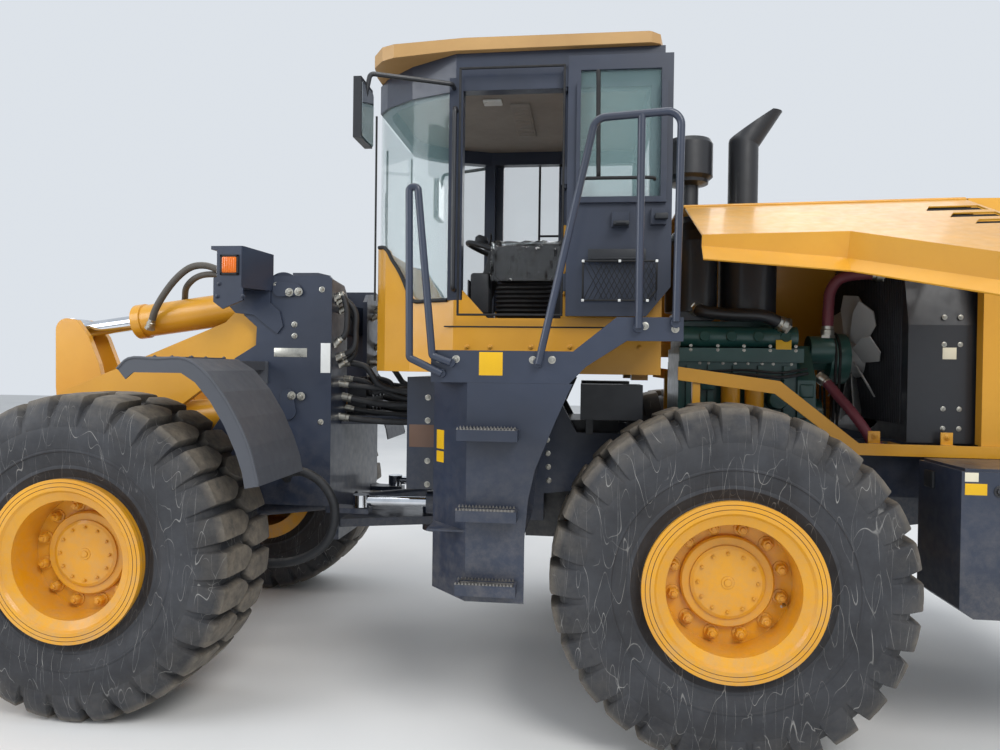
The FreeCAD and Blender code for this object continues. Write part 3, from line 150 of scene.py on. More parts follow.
def start(name):
    """New material: its node tree, its Principled shader and the object coordinates."""
    material = bpy.data.materials.new(name)
    material.use_nodes = True
    tree = material.node_tree
    return material, tree, tree.nodes["Principled BSDF"], add(tree, "TexCoord", {}, "Object")


def cloud(tree, place, size, detail, low, high, a=0.0, b=1.0, rough=0.5, stretch=None):
    """Cloudy noise whose cells are size millimetres wide, mapped from low..high to a..b."""
    if stretch:
        place = add(tree, "Mapping", {"Vector": place, "Scale": stretch})
    grain = add(tree, "TexNoise", {"Vector": place, "Scale": per_mm(size), "Detail": detail, "Roughness": rough}, "Fac")
    return add(tree, "MapRange", {"Value": grain, "From Min": low, "From Max": high, "To Min": a, "To Max": b})


# %% [markdown]
# Sprayed machine enamel is a hard glossy film: broad cloudy tone, fine orange peel, dust settled where a face looks up,
# splashes near the ground and a rounded shading normal along each edge, so that the edge catches the light.


# %% Enamel
def enamel(name, code, shade, rough=0.38, dust=0.3, splash=0.35, coat=0.25):
    material, tree, shader, place = start(name)
    tone = add(tree, "Mix", {"Factor": cloud(tree, place, 590, 4, 0.35, 0.7), "A": linear(code), "B": linear(shade)},
               "Result", data_type="RGBA")
    tone = add(tree, "Mix", {"Factor": cloud(tree, place, 26, 5, 0.5, 0.8, 0, 0.22, 0.65), "A": tone,
                             "B": linear(shade)}, "Result", data_type="RGBA")
    soft = add(tree, "Bevel", {"Radius": 0.004}, samples=3)
    facing = add(tree, "SeparateXYZ", {0: add(tree, "NewGeometry", {}, "Normal")}, "Z")
    high = add(tree, "MapRange", {"Value": facing, "From Min": 0.55, "From Max": 0.95})
    settled = add(tree, "Math", {0: high, 1: cloud(tree, place, 110, 6, 0.38, 0.72, 0, dust, 0.7)}, operation="MULTIPLY")
    height = add(tree, "SeparateXYZ", {0: place}, "Z")
    near = add(tree, "MapRange", {"Value": height, "From Min": 1.5, "From Max": 0.25})
    low = add(tree, "Math", {0: near, 1: cloud(tree, place, 70, 8, 0.42, 0.7, 0, splash, 0.75)}, operation="MULTIPLY")
    dirt = add(tree, "Math", {0: settled, 1: low}, operation="MAXIMUM")
    tone = add(tree, "Mix", {"Factor": dirt, "A": tone, "B": linear("9A9286")}, "Result", data_type="RGBA")
    matt = add(tree, "Math", {0: dirt, 1: 0.4}, operation="MULTIPLY")
    gloss = add(tree, "Math", {0: cloud(tree, place, 45, 4, 0.3, 0.7, rough - 0.05, rough + 0.08), 1: matt}, operation="ADD")
    peel = add(tree, "Bump", {"Height": cloud(tree, place, 2.4, 2, 0, 1), "Strength": 0.06, "Distance": 0.0006,
                              "Normal": soft})
    feed(shader, {"Base Color": tone, "Roughness": gloss, "Normal": peel, "Coat Weight": coat, "Coat Roughness": 0.12,
                  "IOR": 1.5})
    return material


YELLOW = enamel("sprayed_yellow_enamel", "DCA02A", "CB8F1C", rough=0.36)
RIM_YELLOW = enamel("sprayed_rim_enamel", "E3A216", "D08F10", rough=0.40, splash=0.45)
SLATE = enamel("sprayed_slate_enamel", "2B3447", "222938", rough=0.40)
BLACK = enamel("sprayed_black_enamel", "1C1F26", "14161B", rough=0.45, dust=0.25)
ROOF = enamel("faded_roof_enamel", "BF9860", "A88250", rough=0.5, dust=0.35, coat=0.1)
GREEN = enamel("sprayed_engine_enamel", "2A5A55", "1C4542", rough=0.4, dust=0.15)
GROOVE = enamel("shadowed_groove_enamel", "8A5A10", "5C3C0C", rough=0.6, dust=0.1, coat=0.0)
print("enamels done")

# %% [markdown]
# Tyre rubber is carbon black under dust: a dark wall with hairline scratches, and lug faces worn to a dry beige. The
# distance from the axle is worked out from the object coordinates, because all four wheels stand at the same height.


# %% Rubber
WHEEL_X, WHEEL_Y, WHEEL_Z = 1.550, 1.095, 0.800


def scratches(tree, place, size, seed, width):
    """Level lines of a stretched noise, thin as a hair, broken up by a second noise."""
    turned = add(tree, "Mapping", {"Vector": place, "Location": (seed, seed * 0.7, -seed), "Rotation": (0, 0.5 + seed, 0),
                                   "Scale": (1.0, 0.35, 0.2)})
    level = add(tree, "TexNoise", {"Vector": turned, "Scale": per_mm(size), "Detail": 0.4, "Roughness": 0.4}, "Fac")
    away = add(tree, "Math", {0: add(tree, "Math", {0: level, 1: 0.5}, operation="SUBTRACT")}, operation="ABSOLUTE")
    line = add(tree, "MapRange", {"Value": away, "From Min": width, "From Max": width * 0.3})
    return add(tree, "Math", {0: line, 1: cloud(tree, place, 190 - seed * 12, 4, 0.44, 0.62, 0, 0.75, 0.6)}, operation="MULTIPLY")


def tyre_rubber(name):
    material, tree, shader, place = start(name)
    x = add(tree, "SeparateXYZ", {0: place}, "X")
    z = add(tree, "SeparateXYZ", {0: place}, "Z")
    x = add(tree, "Math", {0: add(tree, "Math", {0: x, 1: -float(SHIFT[0])}, operation="ADD")}, operation="ABSOLUTE")
    x = add(tree, "Math", {0: x, 1: WHEEL_X}, operation="SUBTRACT")
    z = add(tree, "Math", {0: z, 1: WHEEL_Z}, operation="SUBTRACT")
    flat = add(tree, "CombineXYZ", {"X": x, "Z": z})
    radius = add(tree, "VectorMath", {0: flat}, "Value", operation="LENGTH")
    tone = add(tree, "Mix", {"Factor": cloud(tree, place, 250, 6, 0.35, 0.7, 0, 1, 0.6), "A": linear("26272B"),
                             "B": linear("393B40")}, "Result", data_type="RGBA")
    crown = add(tree, "MapRange", {"Value": radius, "From Min": 0.755, "From Max": 0.80})
    worn = add(tree, "Math", {0: crown, 1: cloud(tree, place, 59, 7, 0.35, 0.65, 0.3, 0.95, 0.7)}, operation="MULTIPLY")
    tone = add(tree, "Mix", {"Factor": worn, "A": tone, "B": linear("877D6E")}, "Result", data_type="RGBA")
    shoulder = add(tree, "MapRange", {"Value": radius, "From Min": 0.60, "From Max": 0.74})
    dusty = add(tree, "Math", {0: shoulder, 1: cloud(tree, place, 140, 8, 0.4, 0.7, 0, 0.5, 0.75)}, operation="MULTIPLY")
    tone = add(tree, "Mix", {"Factor": dusty, "A": tone, "B": linear("5E5A54")}, "Result", data_type="RGBA")
    lines = None
    for size, seed, width in ((92, 0.0, 0.0030), (64, 3.7, 0.0036), (130, 7.9, 0.0024), (80, 5.3, 0.0030)):
        more = scratches(tree, place, size, seed, width)
        lines = more if lines is None else add(tree, "Math", {0: lines, 1: more}, operation="MAXIMUM")
    wall = add(tree, "Math", {0: lines, 1: add(tree, "MapRange", {"Value": radius, "From Min": 0.80, "From Max": 0.74})},
               operation="MULTIPLY")
    tone = add(tree, "Mix", {"Factor": wall, "A": tone, "B": linear("9C9B98")}, "Result", data_type="RGBA")
    grain = add(tree, "Bump", {"Height": cloud(tree, place, 3.8, 4, 0, 1, 0, 1, 0.6), "Strength": 0.25, "Distance": 0.0015})
    feed(shader, {"Base Color": tone, "Roughness": cloud(tree, place, 90, 6, 0.3, 0.7, 0.62, 0.85, 0.7), "Normal": grain,
                  "IOR": 1.52})
    return material


RUBBER = tyre_rubber("tyre_natural_rubber")

# %% [markdown]
# Cab glazing is laminated glass with a faint green tint: see-through, with dirt streaks that dull its reflection.


# %% Glass
def tinted_glass(name, code, alpha):
    material, tree, shader, place = start(name)
    streak = cloud(tree, place, 330, 5, 0.35, 0.75, 0.015, 0.09, 0.6, stretch=(1.0, 1.0, 0.35))
    feed(shader, {"Base Color": linear(code), "Alpha": alpha, "Roughness": streak, "Coat Weight": 0.6,
                  "Coat Roughness": 0.02, "IOR": 1.52})
    material.surface_render_method = "BLENDED"
    return material


GLASS = tinted_glass("tinted_laminated_glass", "93B4B6", 0.18)


def clear_film(name):
    """Thin polythene: it lets light through and its creases throw hard highlights."""
    material, tree, shader, place = start(name)
    crease = add(tree, "Bump", {"Height": cloud(tree, place, 70, 3, 0.3, 0.7, 0, 1, 0.5, stretch=(1.6, 0.5, 0.5)),
                                "Strength": 0.5, "Distance": 0.012})
    feed(shader, {"Base Color": linear("F2F4F4"), "Transmission Weight": 1.0, "Roughness": 0.03, "IOR": 1.25,
                  "Coat Weight": 0.5, "Coat Roughness": 0.03, "Normal": crease})
    return material


FILM = clear_film("clear_polythene_film")

# %% [markdown]
# Bare metals: the rods are hard chrome, ground along their length, and the cutting edges are rolled steel rubbed bright.


# %% Metals
def bare_metal(name, code, rough, grain_mm, stretch=None):
    material, tree, shader, place = start(name)
    grain = cloud(tree, place, grain_mm, 4, 0.3, 0.8, 0, 0.35, 0.6, stretch)
    tone = add(tree, "Mix", {"Factor": grain, "A": linear(code), "B": linear("5C5A58")}, "Result", data_type="RGBA")
    feed(shader, {"Base Color": tone, "Metallic": 1.0, "Roughness": cloud(tree, place, 77, 5, 0.3, 0.7, rough * 0.7, rough * 1.5),
                  "Normal": add(tree, "Bump", {"Height": grain, "Strength": 0.05, "Distance": 0.0005})})
    return material


CHROME = bare_metal("ground_chromed_rod", "D8DCE2", 0.10, 125)
STEEL = bare_metal("rubbed_rolled_steel", "8F8C88", 0.42, 33, (1, 8, 1))
ZINC = bare_metal("zinc_plated_steel", "B9B7AE", 0.34, 12)
MIRROR = bare_metal("silvered_mirror_glass", "C9CFD2", 0.03, 400)

# %% [markdown]
# Moulded parts differ in grain: ABS consoles have a fine leather grain, hose covers are ribbed and matt, and the lamp
# lenses are smooth acrylic.


# %% Plastics
def moulded(name, code, rough=0.5, grain_mm=1.7, depth=0.12, dust=0.15, ior=1.46):
    material, tree, shader, place = start(name)
    base = linear(code)
    tone = add(tree, "Mix", {"Factor": cloud(tree, place, 200, 4, 0.3, 0.75, 0, 0.5), "A": base,
                             "B": tuple(c * 0.72 for c in base[:3]) + (1,)}, "Result", data_type="RGBA")
    facing = add(tree, "SeparateXYZ", {0: add(tree, "NewGeometry", {}, "Normal")}, "Z")
    high = add(tree, "MapRange", {"Value": facing, "From Min": 0.5, "From Max": 0.95})
    settled = add(tree, "Math", {0: high, 1: cloud(tree, place, 83, 6, 0.4, 0.7, 0, dust, 0.7)}, operation="MULTIPLY")
    tone = add(tree, "Mix", {"Factor": settled, "A": tone, "B": linear("A09A90")}, "Result", data_type="RGBA")
    grain = add(tree, "Bump", {"Height": cloud(tree, place, grain_mm, 3, 0, 1, 0, 1, 0.6), "Strength": depth, "Distance": 0.0008})
    feed(shader, {"Base Color": tone, "Roughness": cloud(tree, place, 50, 4, 0.3, 0.7, max(rough - 0.06, 0.05), rough + 0.1),
                  "Normal": grain, "IOR": ior})
    return material


FAN = moulded("moulded_grey_nylon", "A3A5A6", 0.55, 4)
TRIM = moulded("foam_backed_lining", "96908A", 0.8, 3.3, 0.3)
CONSOLE = moulded("grained_abs", "24272C", 0.55)
VINYL = moulded("seat_vinyl", "1D1E21", 0.5, 1.1, 0.25)
AMBER = moulded("amber_acrylic", "E8751A", 0.2, 16, 0.3, 0.1, 1.49)
WHITE = moulded("white_reflector_acrylic", "E4E6E4", 0.3, 5, 0.3, 0.1, 1.49)
HOSE = moulded("braided_hose_rubber", "202226", 0.6, 1.1, 0.2, 0.3, 1.52)
MAROON = moulded("silicone_hose", "6E3440", 0.5, 3, 0.2, 0.1, 1.43)
LABEL = moulded("blank_vinyl_label", "E3DCC4", 0.45, 30, 0.03, 0.05)
YELLOW_LABEL = moulded("blank_yellow_label", "E7B512", 0.4, 30, 0.03, 0.05)
FENDER = moulded("grey_fender_moulding", "4C4F56", 0.5, 3)
DUSTY_HOSE = moulded("dusty_hose_rubber", "55514B", 0.65, 1.1, 0.2, 0.5, 1.52)
COPPER_PLATE = moulded("blank_brown_plate", "7A5F50", 0.45, 30, 0.03, 0.05)
GASKET = moulded("black_gasket_rubber", "121316", 0.7, 2, 0.2, 0.1, 1.52)

# %% [markdown]
# The slots named in the record say which finish each CAD piece wears.

# %% Dress the CAD pieces
SLOT_LOOKS = {"tyre": RUBBER, "rim_yellow": RIM_YELLOW, "body_yellow": YELLOW, "slate": SLATE, "black": BLACK,
              "roof": ROOF, "chrome": CHROME, "steel": STEEL, "glass": GLASS, "engine_green": GREEN, "fan_grey": FAN,
              "trim": TRIM, "seat": VINYL, "amber": AMBER, "console": CONSOLE}
slot_of = {s["node"]: s["material_slot"] for s in frame["record"]["subparts"]}
for name, obj in nodes.items():
    obj.data.materials.clear()
    obj.data.materials.append(SLOT_LOOKS[slot_of[name]])
nodes["front_fenders"].data.materials[0] = FENDER
print("materials", len(bpy.data.materials))

# %% [markdown]
# ## Modelling kit
# Small parts are surfaces carried along a line or stacked from outlines. `Kit` gathers those that share a body and a
# finish, so that a row of bolts is one piece. Every function works on whole arrays of points.


# %% Points and curves
def mm(*xyz):
    """Point or points measured in millimetres from the steering axis, in the frame's metres."""
    p = np.array(xyz[0] if len(xyz) == 1 else xyz, float)
    return p / 1000.0 + SHIFT


def square_to(way):
    """Two unit vectors at right angles to way and to each other."""
    way = np.array(way, float) / np.linalg.norm(way)
    a = np.cross(way, (0, 0, 1) if abs(way[2]) < 0.9 else (1, 0, 0))
    a /= np.linalg.norm(a)
    return a, np.cross(way, a)


def curve_through(points, steps=8):
    """Centripetal curve through the points: each span blends its four nearest points, with knots spaced by the
    square root of the chords."""
    p = np.array(points, float)
    if len(p) < 3:
        return p
    p = np.vstack([2 * p[0] - p[1], p, 2 * p[-1] - p[-2]])
    knots = np.concatenate([[0], np.cumsum(np.sqrt(np.linalg.norm(np.diff(p, axis=0), axis=1)))])
    k0, k1, k2, k3 = (knots[i:len(knots) - 3 + i, None, None] for i in range(4))
    p0, p1, p2, p3 = (p[i:len(p) - 3 + i, None] for i in range(4))
    t = k1 + (k2 - k1) * np.linspace(0, 1, steps, endpoint=False)[None, :, None]
    a1 = ((k1 - t) * p0 + (t - k0) * p1) / (k1 - k0)
    a2 = ((k2 - t) * p1 + (t - k1) * p2) / (k2 - k1)
    a3 = ((k3 - t) * p2 + (t - k2) * p3) / (k3 - k2)
    b1 = ((k2 - t) * a1 + (t - k0) * a2) / (k2 - k0)
    b2 = ((k3 - t) * a2 + (t - k1) * a3) / (k3 - k1)
    line = ((k2 - t) * b1 + (t - k1) * b2) / (k2 - k1)
    return np.vstack([line.reshape(-1, 3), p[-2]])



# %% Kit
class Kit:
    def __init__(self, name, body, look, slot, smooth=32):
        self.name, self.body, self.look, self.slot, self.smooth = name, body, look, slot, smooth
        self.verts, self.quads, self.caps, self.count = [], [], [], 0

    def skin(self, rings, loop=False):
        """rings has the shape (stations, points, 3): quads join the stations, and a flat face closes each end."""
        rings = np.asarray(rings, float)
        stations, n = rings.shape[:2]
        i, k = np.arange(stations if loop else stations - 1)[:, None], np.arange(n)[None]
        here, there = self.count + i * n, self.count + ((i + 1) % stations) * n
        ahead = (k + 1) % n
        self.quads.append(np.stack([here + k, here + ahead, there + ahead, there + k], -1).reshape(-1, 4))
        if not loop:
            self.caps.append(list(range(self.count + n - 1, self.count - 1, -1)))
            self.caps.append(list(range(self.count + (stations - 1) * n, self.count + stations * n)))
        self.verts.append(rings.reshape(-1, 3))
        self.count += stations * n
        return self

    def lathe(self, at, way, profile, n=32, turn=0.0):
        """Profile of (distance along way, radius) turned round the line through at."""
        a, b = square_to(way)
        way = np.array(way, float) / np.linalg.norm(way)
        d, r = np.array(profile, float).T
        t = turn + np.linspace(0, 2 * pi, n, endpoint=False)
        round_ = np.cos(t)[:, None] * a + np.sin(t)[:, None] * b
        return self.skin(np.asarray(at) + d[:, None, None] * way + np.maximum(r, 1e-4)[:, None, None] * round_)

    def rod(self, a, b, r, n=20, edge=0.001):
        run = float(np.linalg.norm(np.subtract(b, a)))
        return self.lathe(a, np.subtract(b, a), [(0, r - edge), (edge, r), (run - edge, r), (run, r - edge)], n)

    def bolt(self, at, way, size=0.012, washer=True):
        """size is half the width across the corners of the head."""
        at, way = np.asarray(at), np.array(way, float) / np.linalg.norm(way)
        if washer:
            self.lathe(at, way, [(-0.001, size * 1.45), (size * 0.18, size * 1.45), (size * 0.22, size * 1.36)], 20)
        self.lathe(at + way * size * 0.2, way, [(0, size), (size * 0.62, size), (size * 0.78, size * 0.86)], 6, 0.3)
        return self.lathe(at + way * size * 0.9, way, [(0, size * 0.42), (size * 0.35, size * 0.42), (size * 0.45, size * 0.3)], 12)

    def block(self, low, high, edge=0.004, turn=None):
        """Box with rounded edges: rounded rectangles stacked along z and drawn in towards both ends by a quarter round.
        turn is a 4 x 4 matrix for a box that is given in its own coordinates."""
        low, high = np.minimum(low, high), np.maximum(low, high)
        mid, half = (low + high) / 2, (high - low) / 2
        edge = min(edge, float(half.min()) * 0.9)
        corner = np.repeat(np.arange(4), 3)
        angle = corner * pi / 2 + np.tile(np.linspace(0, pi / 2, 3), 4)
        sx, sy = np.array([1, -1, -1, 1])[corner], np.array([1, 1, -1, -1])[corner]
        lift = np.radians([-70, -35, 0, 0, 35, 70])
        z = np.sin(lift) * edge + np.array([-1, -1, -1, 1, 1, 1]) * (half[2] - edge)
        reach = np.cos(lift)[:, None] * edge
        x = sx * (half[0] - edge) + reach * np.cos(angle)
        y = sy * (half[1] - edge) + reach * np.sin(angle)
        rings = np.stack([x, y, np.broadcast_to(z[:, None], x.shape)], -1) + mid
        if turn is not None:
            m = np.array(turn)
            rings = rings @ m[:3, :3].T + m[:3, 3]
        return self.skin(rings)

    def plate(self, outline, step, edge=0.001):
        """Outline of points pushed along step; near both faces every side moves in by the edge."""
        p, step = np.array(outline, float), np.array(step, float)
        up = step / np.linalg.norm(step)
        run = np.roll(p, -1, 0) - p
        run /= np.linalg.norm(run, axis=1)[:, None]
        area = np.dot(np.cross(p - p.mean(0), np.roll(p, -1, 0) - p.mean(0)).sum(0), up)
        inward = np.cross(up, run) * np.sign(area)
        before = np.roll(inward, 1, 0)
        miter = (inward + before) / (1 + (inward * before).sum(1))[:, None]
        return self.skin([p + miter * edge, p + up * edge, p + step - up * edge, p + step + miter * edge])

    def tube(self, points, r, n=14, steps=8, ribs=0.0, flat=1.0):
        """Circle of radius r carried along a smooth curve without twist; ribs swells every other ring."""
        line = curve_through(points, steps)
        way = np.gradient(line, axis=0)
        way /= np.linalg.norm(way, axis=1)[:, None]
        sides = [square_to(way[0])[0]]
        for w in way[1:]:
            s = sides[-1] - w * sides[-1].dot(w)
            sides.append(s / np.linalg.norm(s))
        sides = np.array(sides)
        t = np.linspace(0, 2 * pi, n, endpoint=False)[None, :, None]
        swell = (1 + ribs * (np.arange(len(line)) % 2))[:, None, None]
        ups = np.cross(way, sides)
        return self.skin(line[:, None] + r * swell * (sides[:, None] * np.cos(t) + flat * ups[:, None] * np.sin(t)))

    def done(self, rides=True):
        verts = np.concatenate(self.verts)
        mesh = bpy.data.meshes.new(self.name)
        mesh.from_pydata(verts.tolist(), [], np.concatenate(self.quads).tolist() + self.caps)
        bm = bmesh.new()
        bm.from_mesh(mesh)
        bmesh.ops.recalc_face_normals(bm, faces=bm.faces[:])
        bm.to_mesh(mesh)
        bm.free()
        mesh.polygons.foreach_set("use_smooth", np.ones(len(mesh.polygons), bool))
        mesh.set_sharp_from_angle(angle=radians(self.smooth))
        mesh.materials.append(self.look)
        piece = bpy.data.objects.new(self.name, mesh)
        bpy.context.scene.collection.objects.link(piece)
        if rides:
            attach(piece, self.body)
        return piece


# %% [markdown]
# ## Tyres
# The rubber is one turned carcass with ribs on its wall. A lug is a skin over stations that run from a pointed head past
# the centre line, over the shoulder and down the wall, where it sinks into the carcass. The two rows are half a pitch
# apart, so the groove between them zigzags.

# %% Tyres
LUGS = 28
# across, radius
CARCASS = np.array([(0.0, 0.757), (0.10, 0.757), (0.185, 0.754), (0.218, 0.745), (0.241, 0.727), (0.257, 0.708),
                    (0.270, 0.686), (0.279, 0.664), (0.285, 0.640), (0.288, 0.600), (0.287, 0.560), (0.283, 0.535),
                    (0.285, 0.531), (0.285, 0.525), (0.279, 0.520), (0.271, 0.485), (0.261, 0.456), (0.263, 0.450),
                    (0.263, 0.440), (0.256, 0.434), (0.247, 0.420), (0.240, 0.405), (0.235, 0.396), (0.235, 0.330)])
# root across and radius, top across and radius, half width
LUG = np.array([(-0.016, 0.748, -0.017, 0.780, 0.010), (-0.014, 0.750, -0.012, 0.796, 0.018),
                (0.030, 0.750, 0.030, 0.800, 0.048), (0.062, 0.750, 0.062, 0.801, 0.062),
                (0.125, 0.750, 0.125, 0.800, 0.061), (0.185, 0.747, 0.190, 0.797, 0.060),
                (0.213, 0.738, 0.232, 0.790, 0.060), (0.216, 0.736, 0.237, 0.786, 0.060),
                (0.246, 0.704, 0.266, 0.736, 0.060), (0.260, 0.684, 0.277, 0.706, 0.060),
                (0.270, 0.662, 0.2842, 0.678, 0.060), (0.276, 0.645, 0.2868, 0.652, 0.058),
                (0.276, 0.632, 0.282, 0.636, 0.054)])
# along the lug's width: share of the half width, extra width, share of the height
LUG_EDGE = np.array([(-1, -0.009, 0.0), (-1, 0, 0.90), (-1, 0.0015, 0.965), (-1, 0.006, 1.0), (0, 0, 1.006),
                     (1, -0.006, 1.0), (1, -0.0015, 0.965), (1, 0, 0.90), (1, 0.009, 0.0)])


def lug_rings(turn, side):
    """Shape (stations, points, 3): height blends root and top, and the width is wrapped round the axle as an arc."""
    y0, r0, y1, r1, half = (LUG[:, i, None] for i in range(5))
    share, extra, lift = (LUG_EDGE[None, :, i] for i in range(3))
    r, y = r0 + (r1 - r0) * lift, y0 + (y1 - y0) * lift
    angle = turn + (share * half + extra) / r
    return np.stack([r * np.sin(angle), side * y, r * np.cos(angle)], -1)


def make_tyre(tag, x, y, body):
    kit = Kit("tread_" + tag, body, RUBBER, "tyre", 26)
    centre = mm(x * 1000, y * 1000, WHEEL_Z * 1000)
    across = np.concatenate([-CARCASS[:0:-1, 0], CARCASS[:, 0]])[:, None]
    radius = np.concatenate([CARCASS[:0:-1, 1], CARCASS[:, 1]])[:, None]
    t = np.linspace(0, 2 * pi, 112, endpoint=False)[None]
    kit.skin(centre + np.stack([radius * np.sin(t), across + 0 * t, radius * np.cos(t)], -1), loop=True)
    for i in range(LUGS):
        for side, offset in ((1, 0.0), (-1, 0.5)):
            kit.skin(centre + lug_rings(2 * pi * (i + offset) / LUGS, side))
    return kit.done()


# %% [markdown]
# The hub shows twelve wheel nuts on washers, a ring of cover bolts, two turned lines in the rim's flange and the valve.


# %% Hubs
def make_hub(tag, x, side, body):
    out = np.array([0, side, 0])
    hub = mm(x * 1000, side * WHEEL_Y * 1000, WHEEL_Z * 1000)
    nuts = Kit("nuts_" + tag, body, RIM_YELLOW, "rim_yellow")
    for i in range(12):
        a, b = radians(i * 30 + 15), radians(i * 30)
        at = hub + 0.245 * np.array([cos(a), 0, sin(a)]) + out * 0.095
        nuts.lathe(at, out, [(0, 0.034), (0.005, 0.034), (0.006, 0.031)], 24)
        nuts.lathe(at + out * 0.005, out, [(0, 0.0255), (0.024, 0.0255), (0.030, 0.022)], 6, 0.2)
        nuts.lathe(at + out * 0.034, out, [(0, 0.012), (0.010, 0.012), (0.012, 0.010)], 16)
        nuts.bolt(hub + 0.132 * np.array([cos(b), 0, sin(b)]) + out * 0.138, out, 0.0085, False)
    nuts.lathe(hub + out * 0.137, out, [(0, 0.030), (0.004, 0.028), (0.004, 0.016), (0.008, 0.016), (0.009, 0.012)], 28)
    nuts.done()
    grooves = Kit("rim_lines_" + tag, body, GROOVE, "rim_yellow")
    t = np.linspace(0, 2 * pi, 96, endpoint=False)[None]
    for r in (0.378, 0.358):
        s = np.array([-0.0016, 0, 0.0016, 0])[:, None]
        d = 0.300 + np.array([0, 0.0010, 0, -0.0010])[:, None]
        grooves.skin(hub + np.stack([(r + s) * np.sin(t), side * d + 0 * t, (r + s) * np.cos(t)], -1), loop=True)
    grooves.done()
    at = hub + 0.268 * np.array([cos(3.5), 0, sin(3.5)]) + out * 0.095
    Kit("valve_" + tag, body, ZINC, "steel").tube([at, at + out * 0.03, at + out * 0.05 + (0.02, 0, 0)], 0.006).done()


for end, sx in (("front", 1), ("rear", -1)):
    for name, sy in (("left", 1), ("right", -1)):
        tag = end + "_" + name
        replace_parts(make_tyre(tag, sx * WHEEL_X, sy * WHEEL_Y, "wheel_" + tag), "tyre_" + tag)
        make_hub(tag, sx * WHEEL_X, sy, "wheel_" + tag)
print("wheels dressed")

# %% [markdown]
# ## Tower and front lamps
# The lift arms hang from a welded tower. Its keeper plates, blank data plate and reflectors are bolted or stuck on the
# outer flange, so they are drawn on that face. The lamp units get their lens, bezel and side indicator.


# %% Tower fittings
def both(points):
    """The same points on the left and, with y reversed, on the right."""
    p = np.atleast_2d(np.array(points, float))
    return np.vstack([p, p * (1, -1, 1)])


def side_sign(p):
    return (0, float(np.sign(p[1])), 0)


bolts = Kit("tower_bolts", "front", ZINC, "steel")
for p in both([(756, 504, 2175), (812, 504, 2172), (791, 504, 1571), (735, 504, 1568)]):
    bolts.bolt(mm(p), side_sign(p), 0.017)
for p in both([(784, 490, 1986), (783, 490, 1919), (620, 490, 2190), (620, 490, 1420), (900, 490, 2215)]):
    bolts.bolt(mm(p), side_sign(p), 0.012)
bolts.done()
bolts = Kit("fender_bolts", "front", SLATE, "slate")
for p in both([(x, 680, z) for x, z in ((1010, 2130), (1160, 2130), (1150, 2200))]):
    bolts.bolt(mm(p), side_sign(p), 0.009)
for p in both([(x, 1250, 1776) for x in (990, 1090, 1180)] + [(x, 930, 1776) for x in (990, 1090, 1180)]):
    bolts.bolt(mm(p), (0, 0, 1), 0.010)
bolts.done()

plates = Kit("tower_data_plate", "front", ZINC, "steel")
plates.block(mm(707, 489, 1796), mm(907, 491.5, 1848), 0.0006)
for x in (713, 901):
    for z in (1802, 1842):
        plates.lathe(mm(x, 491, z), (0, 1, 0), [(0, 0.0035), (0.0015, 0.003), (0.0025, 0.001)], 12)
plates.done()
reflector = Kit("white_reflector", "front", WHITE, "amber")
for s in (1, -1):
    reflector.block(mm(566, s * 489, 1706), mm(624, s * 492, 1879), 0.002)
reflector.done()

# %% [markdown]
# Each lamp unit has a clear lens in front and an amber indicator that wraps on to the outer cheek, framed in black.

# %% Lamp units
clear = Kit("headlamp_lens", "front", WHITE, "glass")
amber = Kit("side_indicator", "front", AMBER, "amber")
frames = Kit("indicator_frame", "front", GASKET, "black")
for s in (1, -1):
    clear.block(mm(1160, s * 516, 2246), mm(1172, s * 672, 2382), 0.006)
    for i in range(5):
        z = 2262 + i * 26
        clear.block(mm(1169, s * 524, z), mm(1176, s * 664, z + 12), 0.003)
    amber.block(mm(1046, s * 674, 2262), mm(1132, s * 692, 2352), 0.007)
    for i in range(6):
        x = 1054 + i * 13
        amber.block(mm(x, s * 690, 2268), mm(x + 7, s * 694, 2346), 0.0025)
    for a, b in (((1034, 2250), (1144, 2264)), ((1034, 2350), (1144, 2364)), ((1034, 2250), (1048, 2364)), ((1130, 2250), (1144, 2364))):
        frames.block(mm(a[0], s * 676, a[1]), mm(b[0], s * 688, b[1]), 0.003)
clear.done()
amber.done()
frames.done()

# %% [markdown]
# The front fender's crown carries a raised panel, and its skirt a rolled hem, so that the sheet doesn't flap.

# %% Fender pressings
press = Kit("fender_pressing", "front", FENDER, "slate")
for s in (1, -1):
    press.plate([mm(x, s * y, 1775) for x, y in ((980, 930), (1200, 960), (1200, 1290), (980, 1320))], (0, 0, 0.007), 0.006)
    hem = [(1282, 1722), (1227, 1770), (1090, 1771), (944, 1771), (850, 1713), (765, 1615), (690, 1495), (630, 1365), (584, 1200)]
    press.tube([mm(x, s * 1388, z) for x, z in hem], 0.007, 8, 4)
press.done()
print("tower dressed")
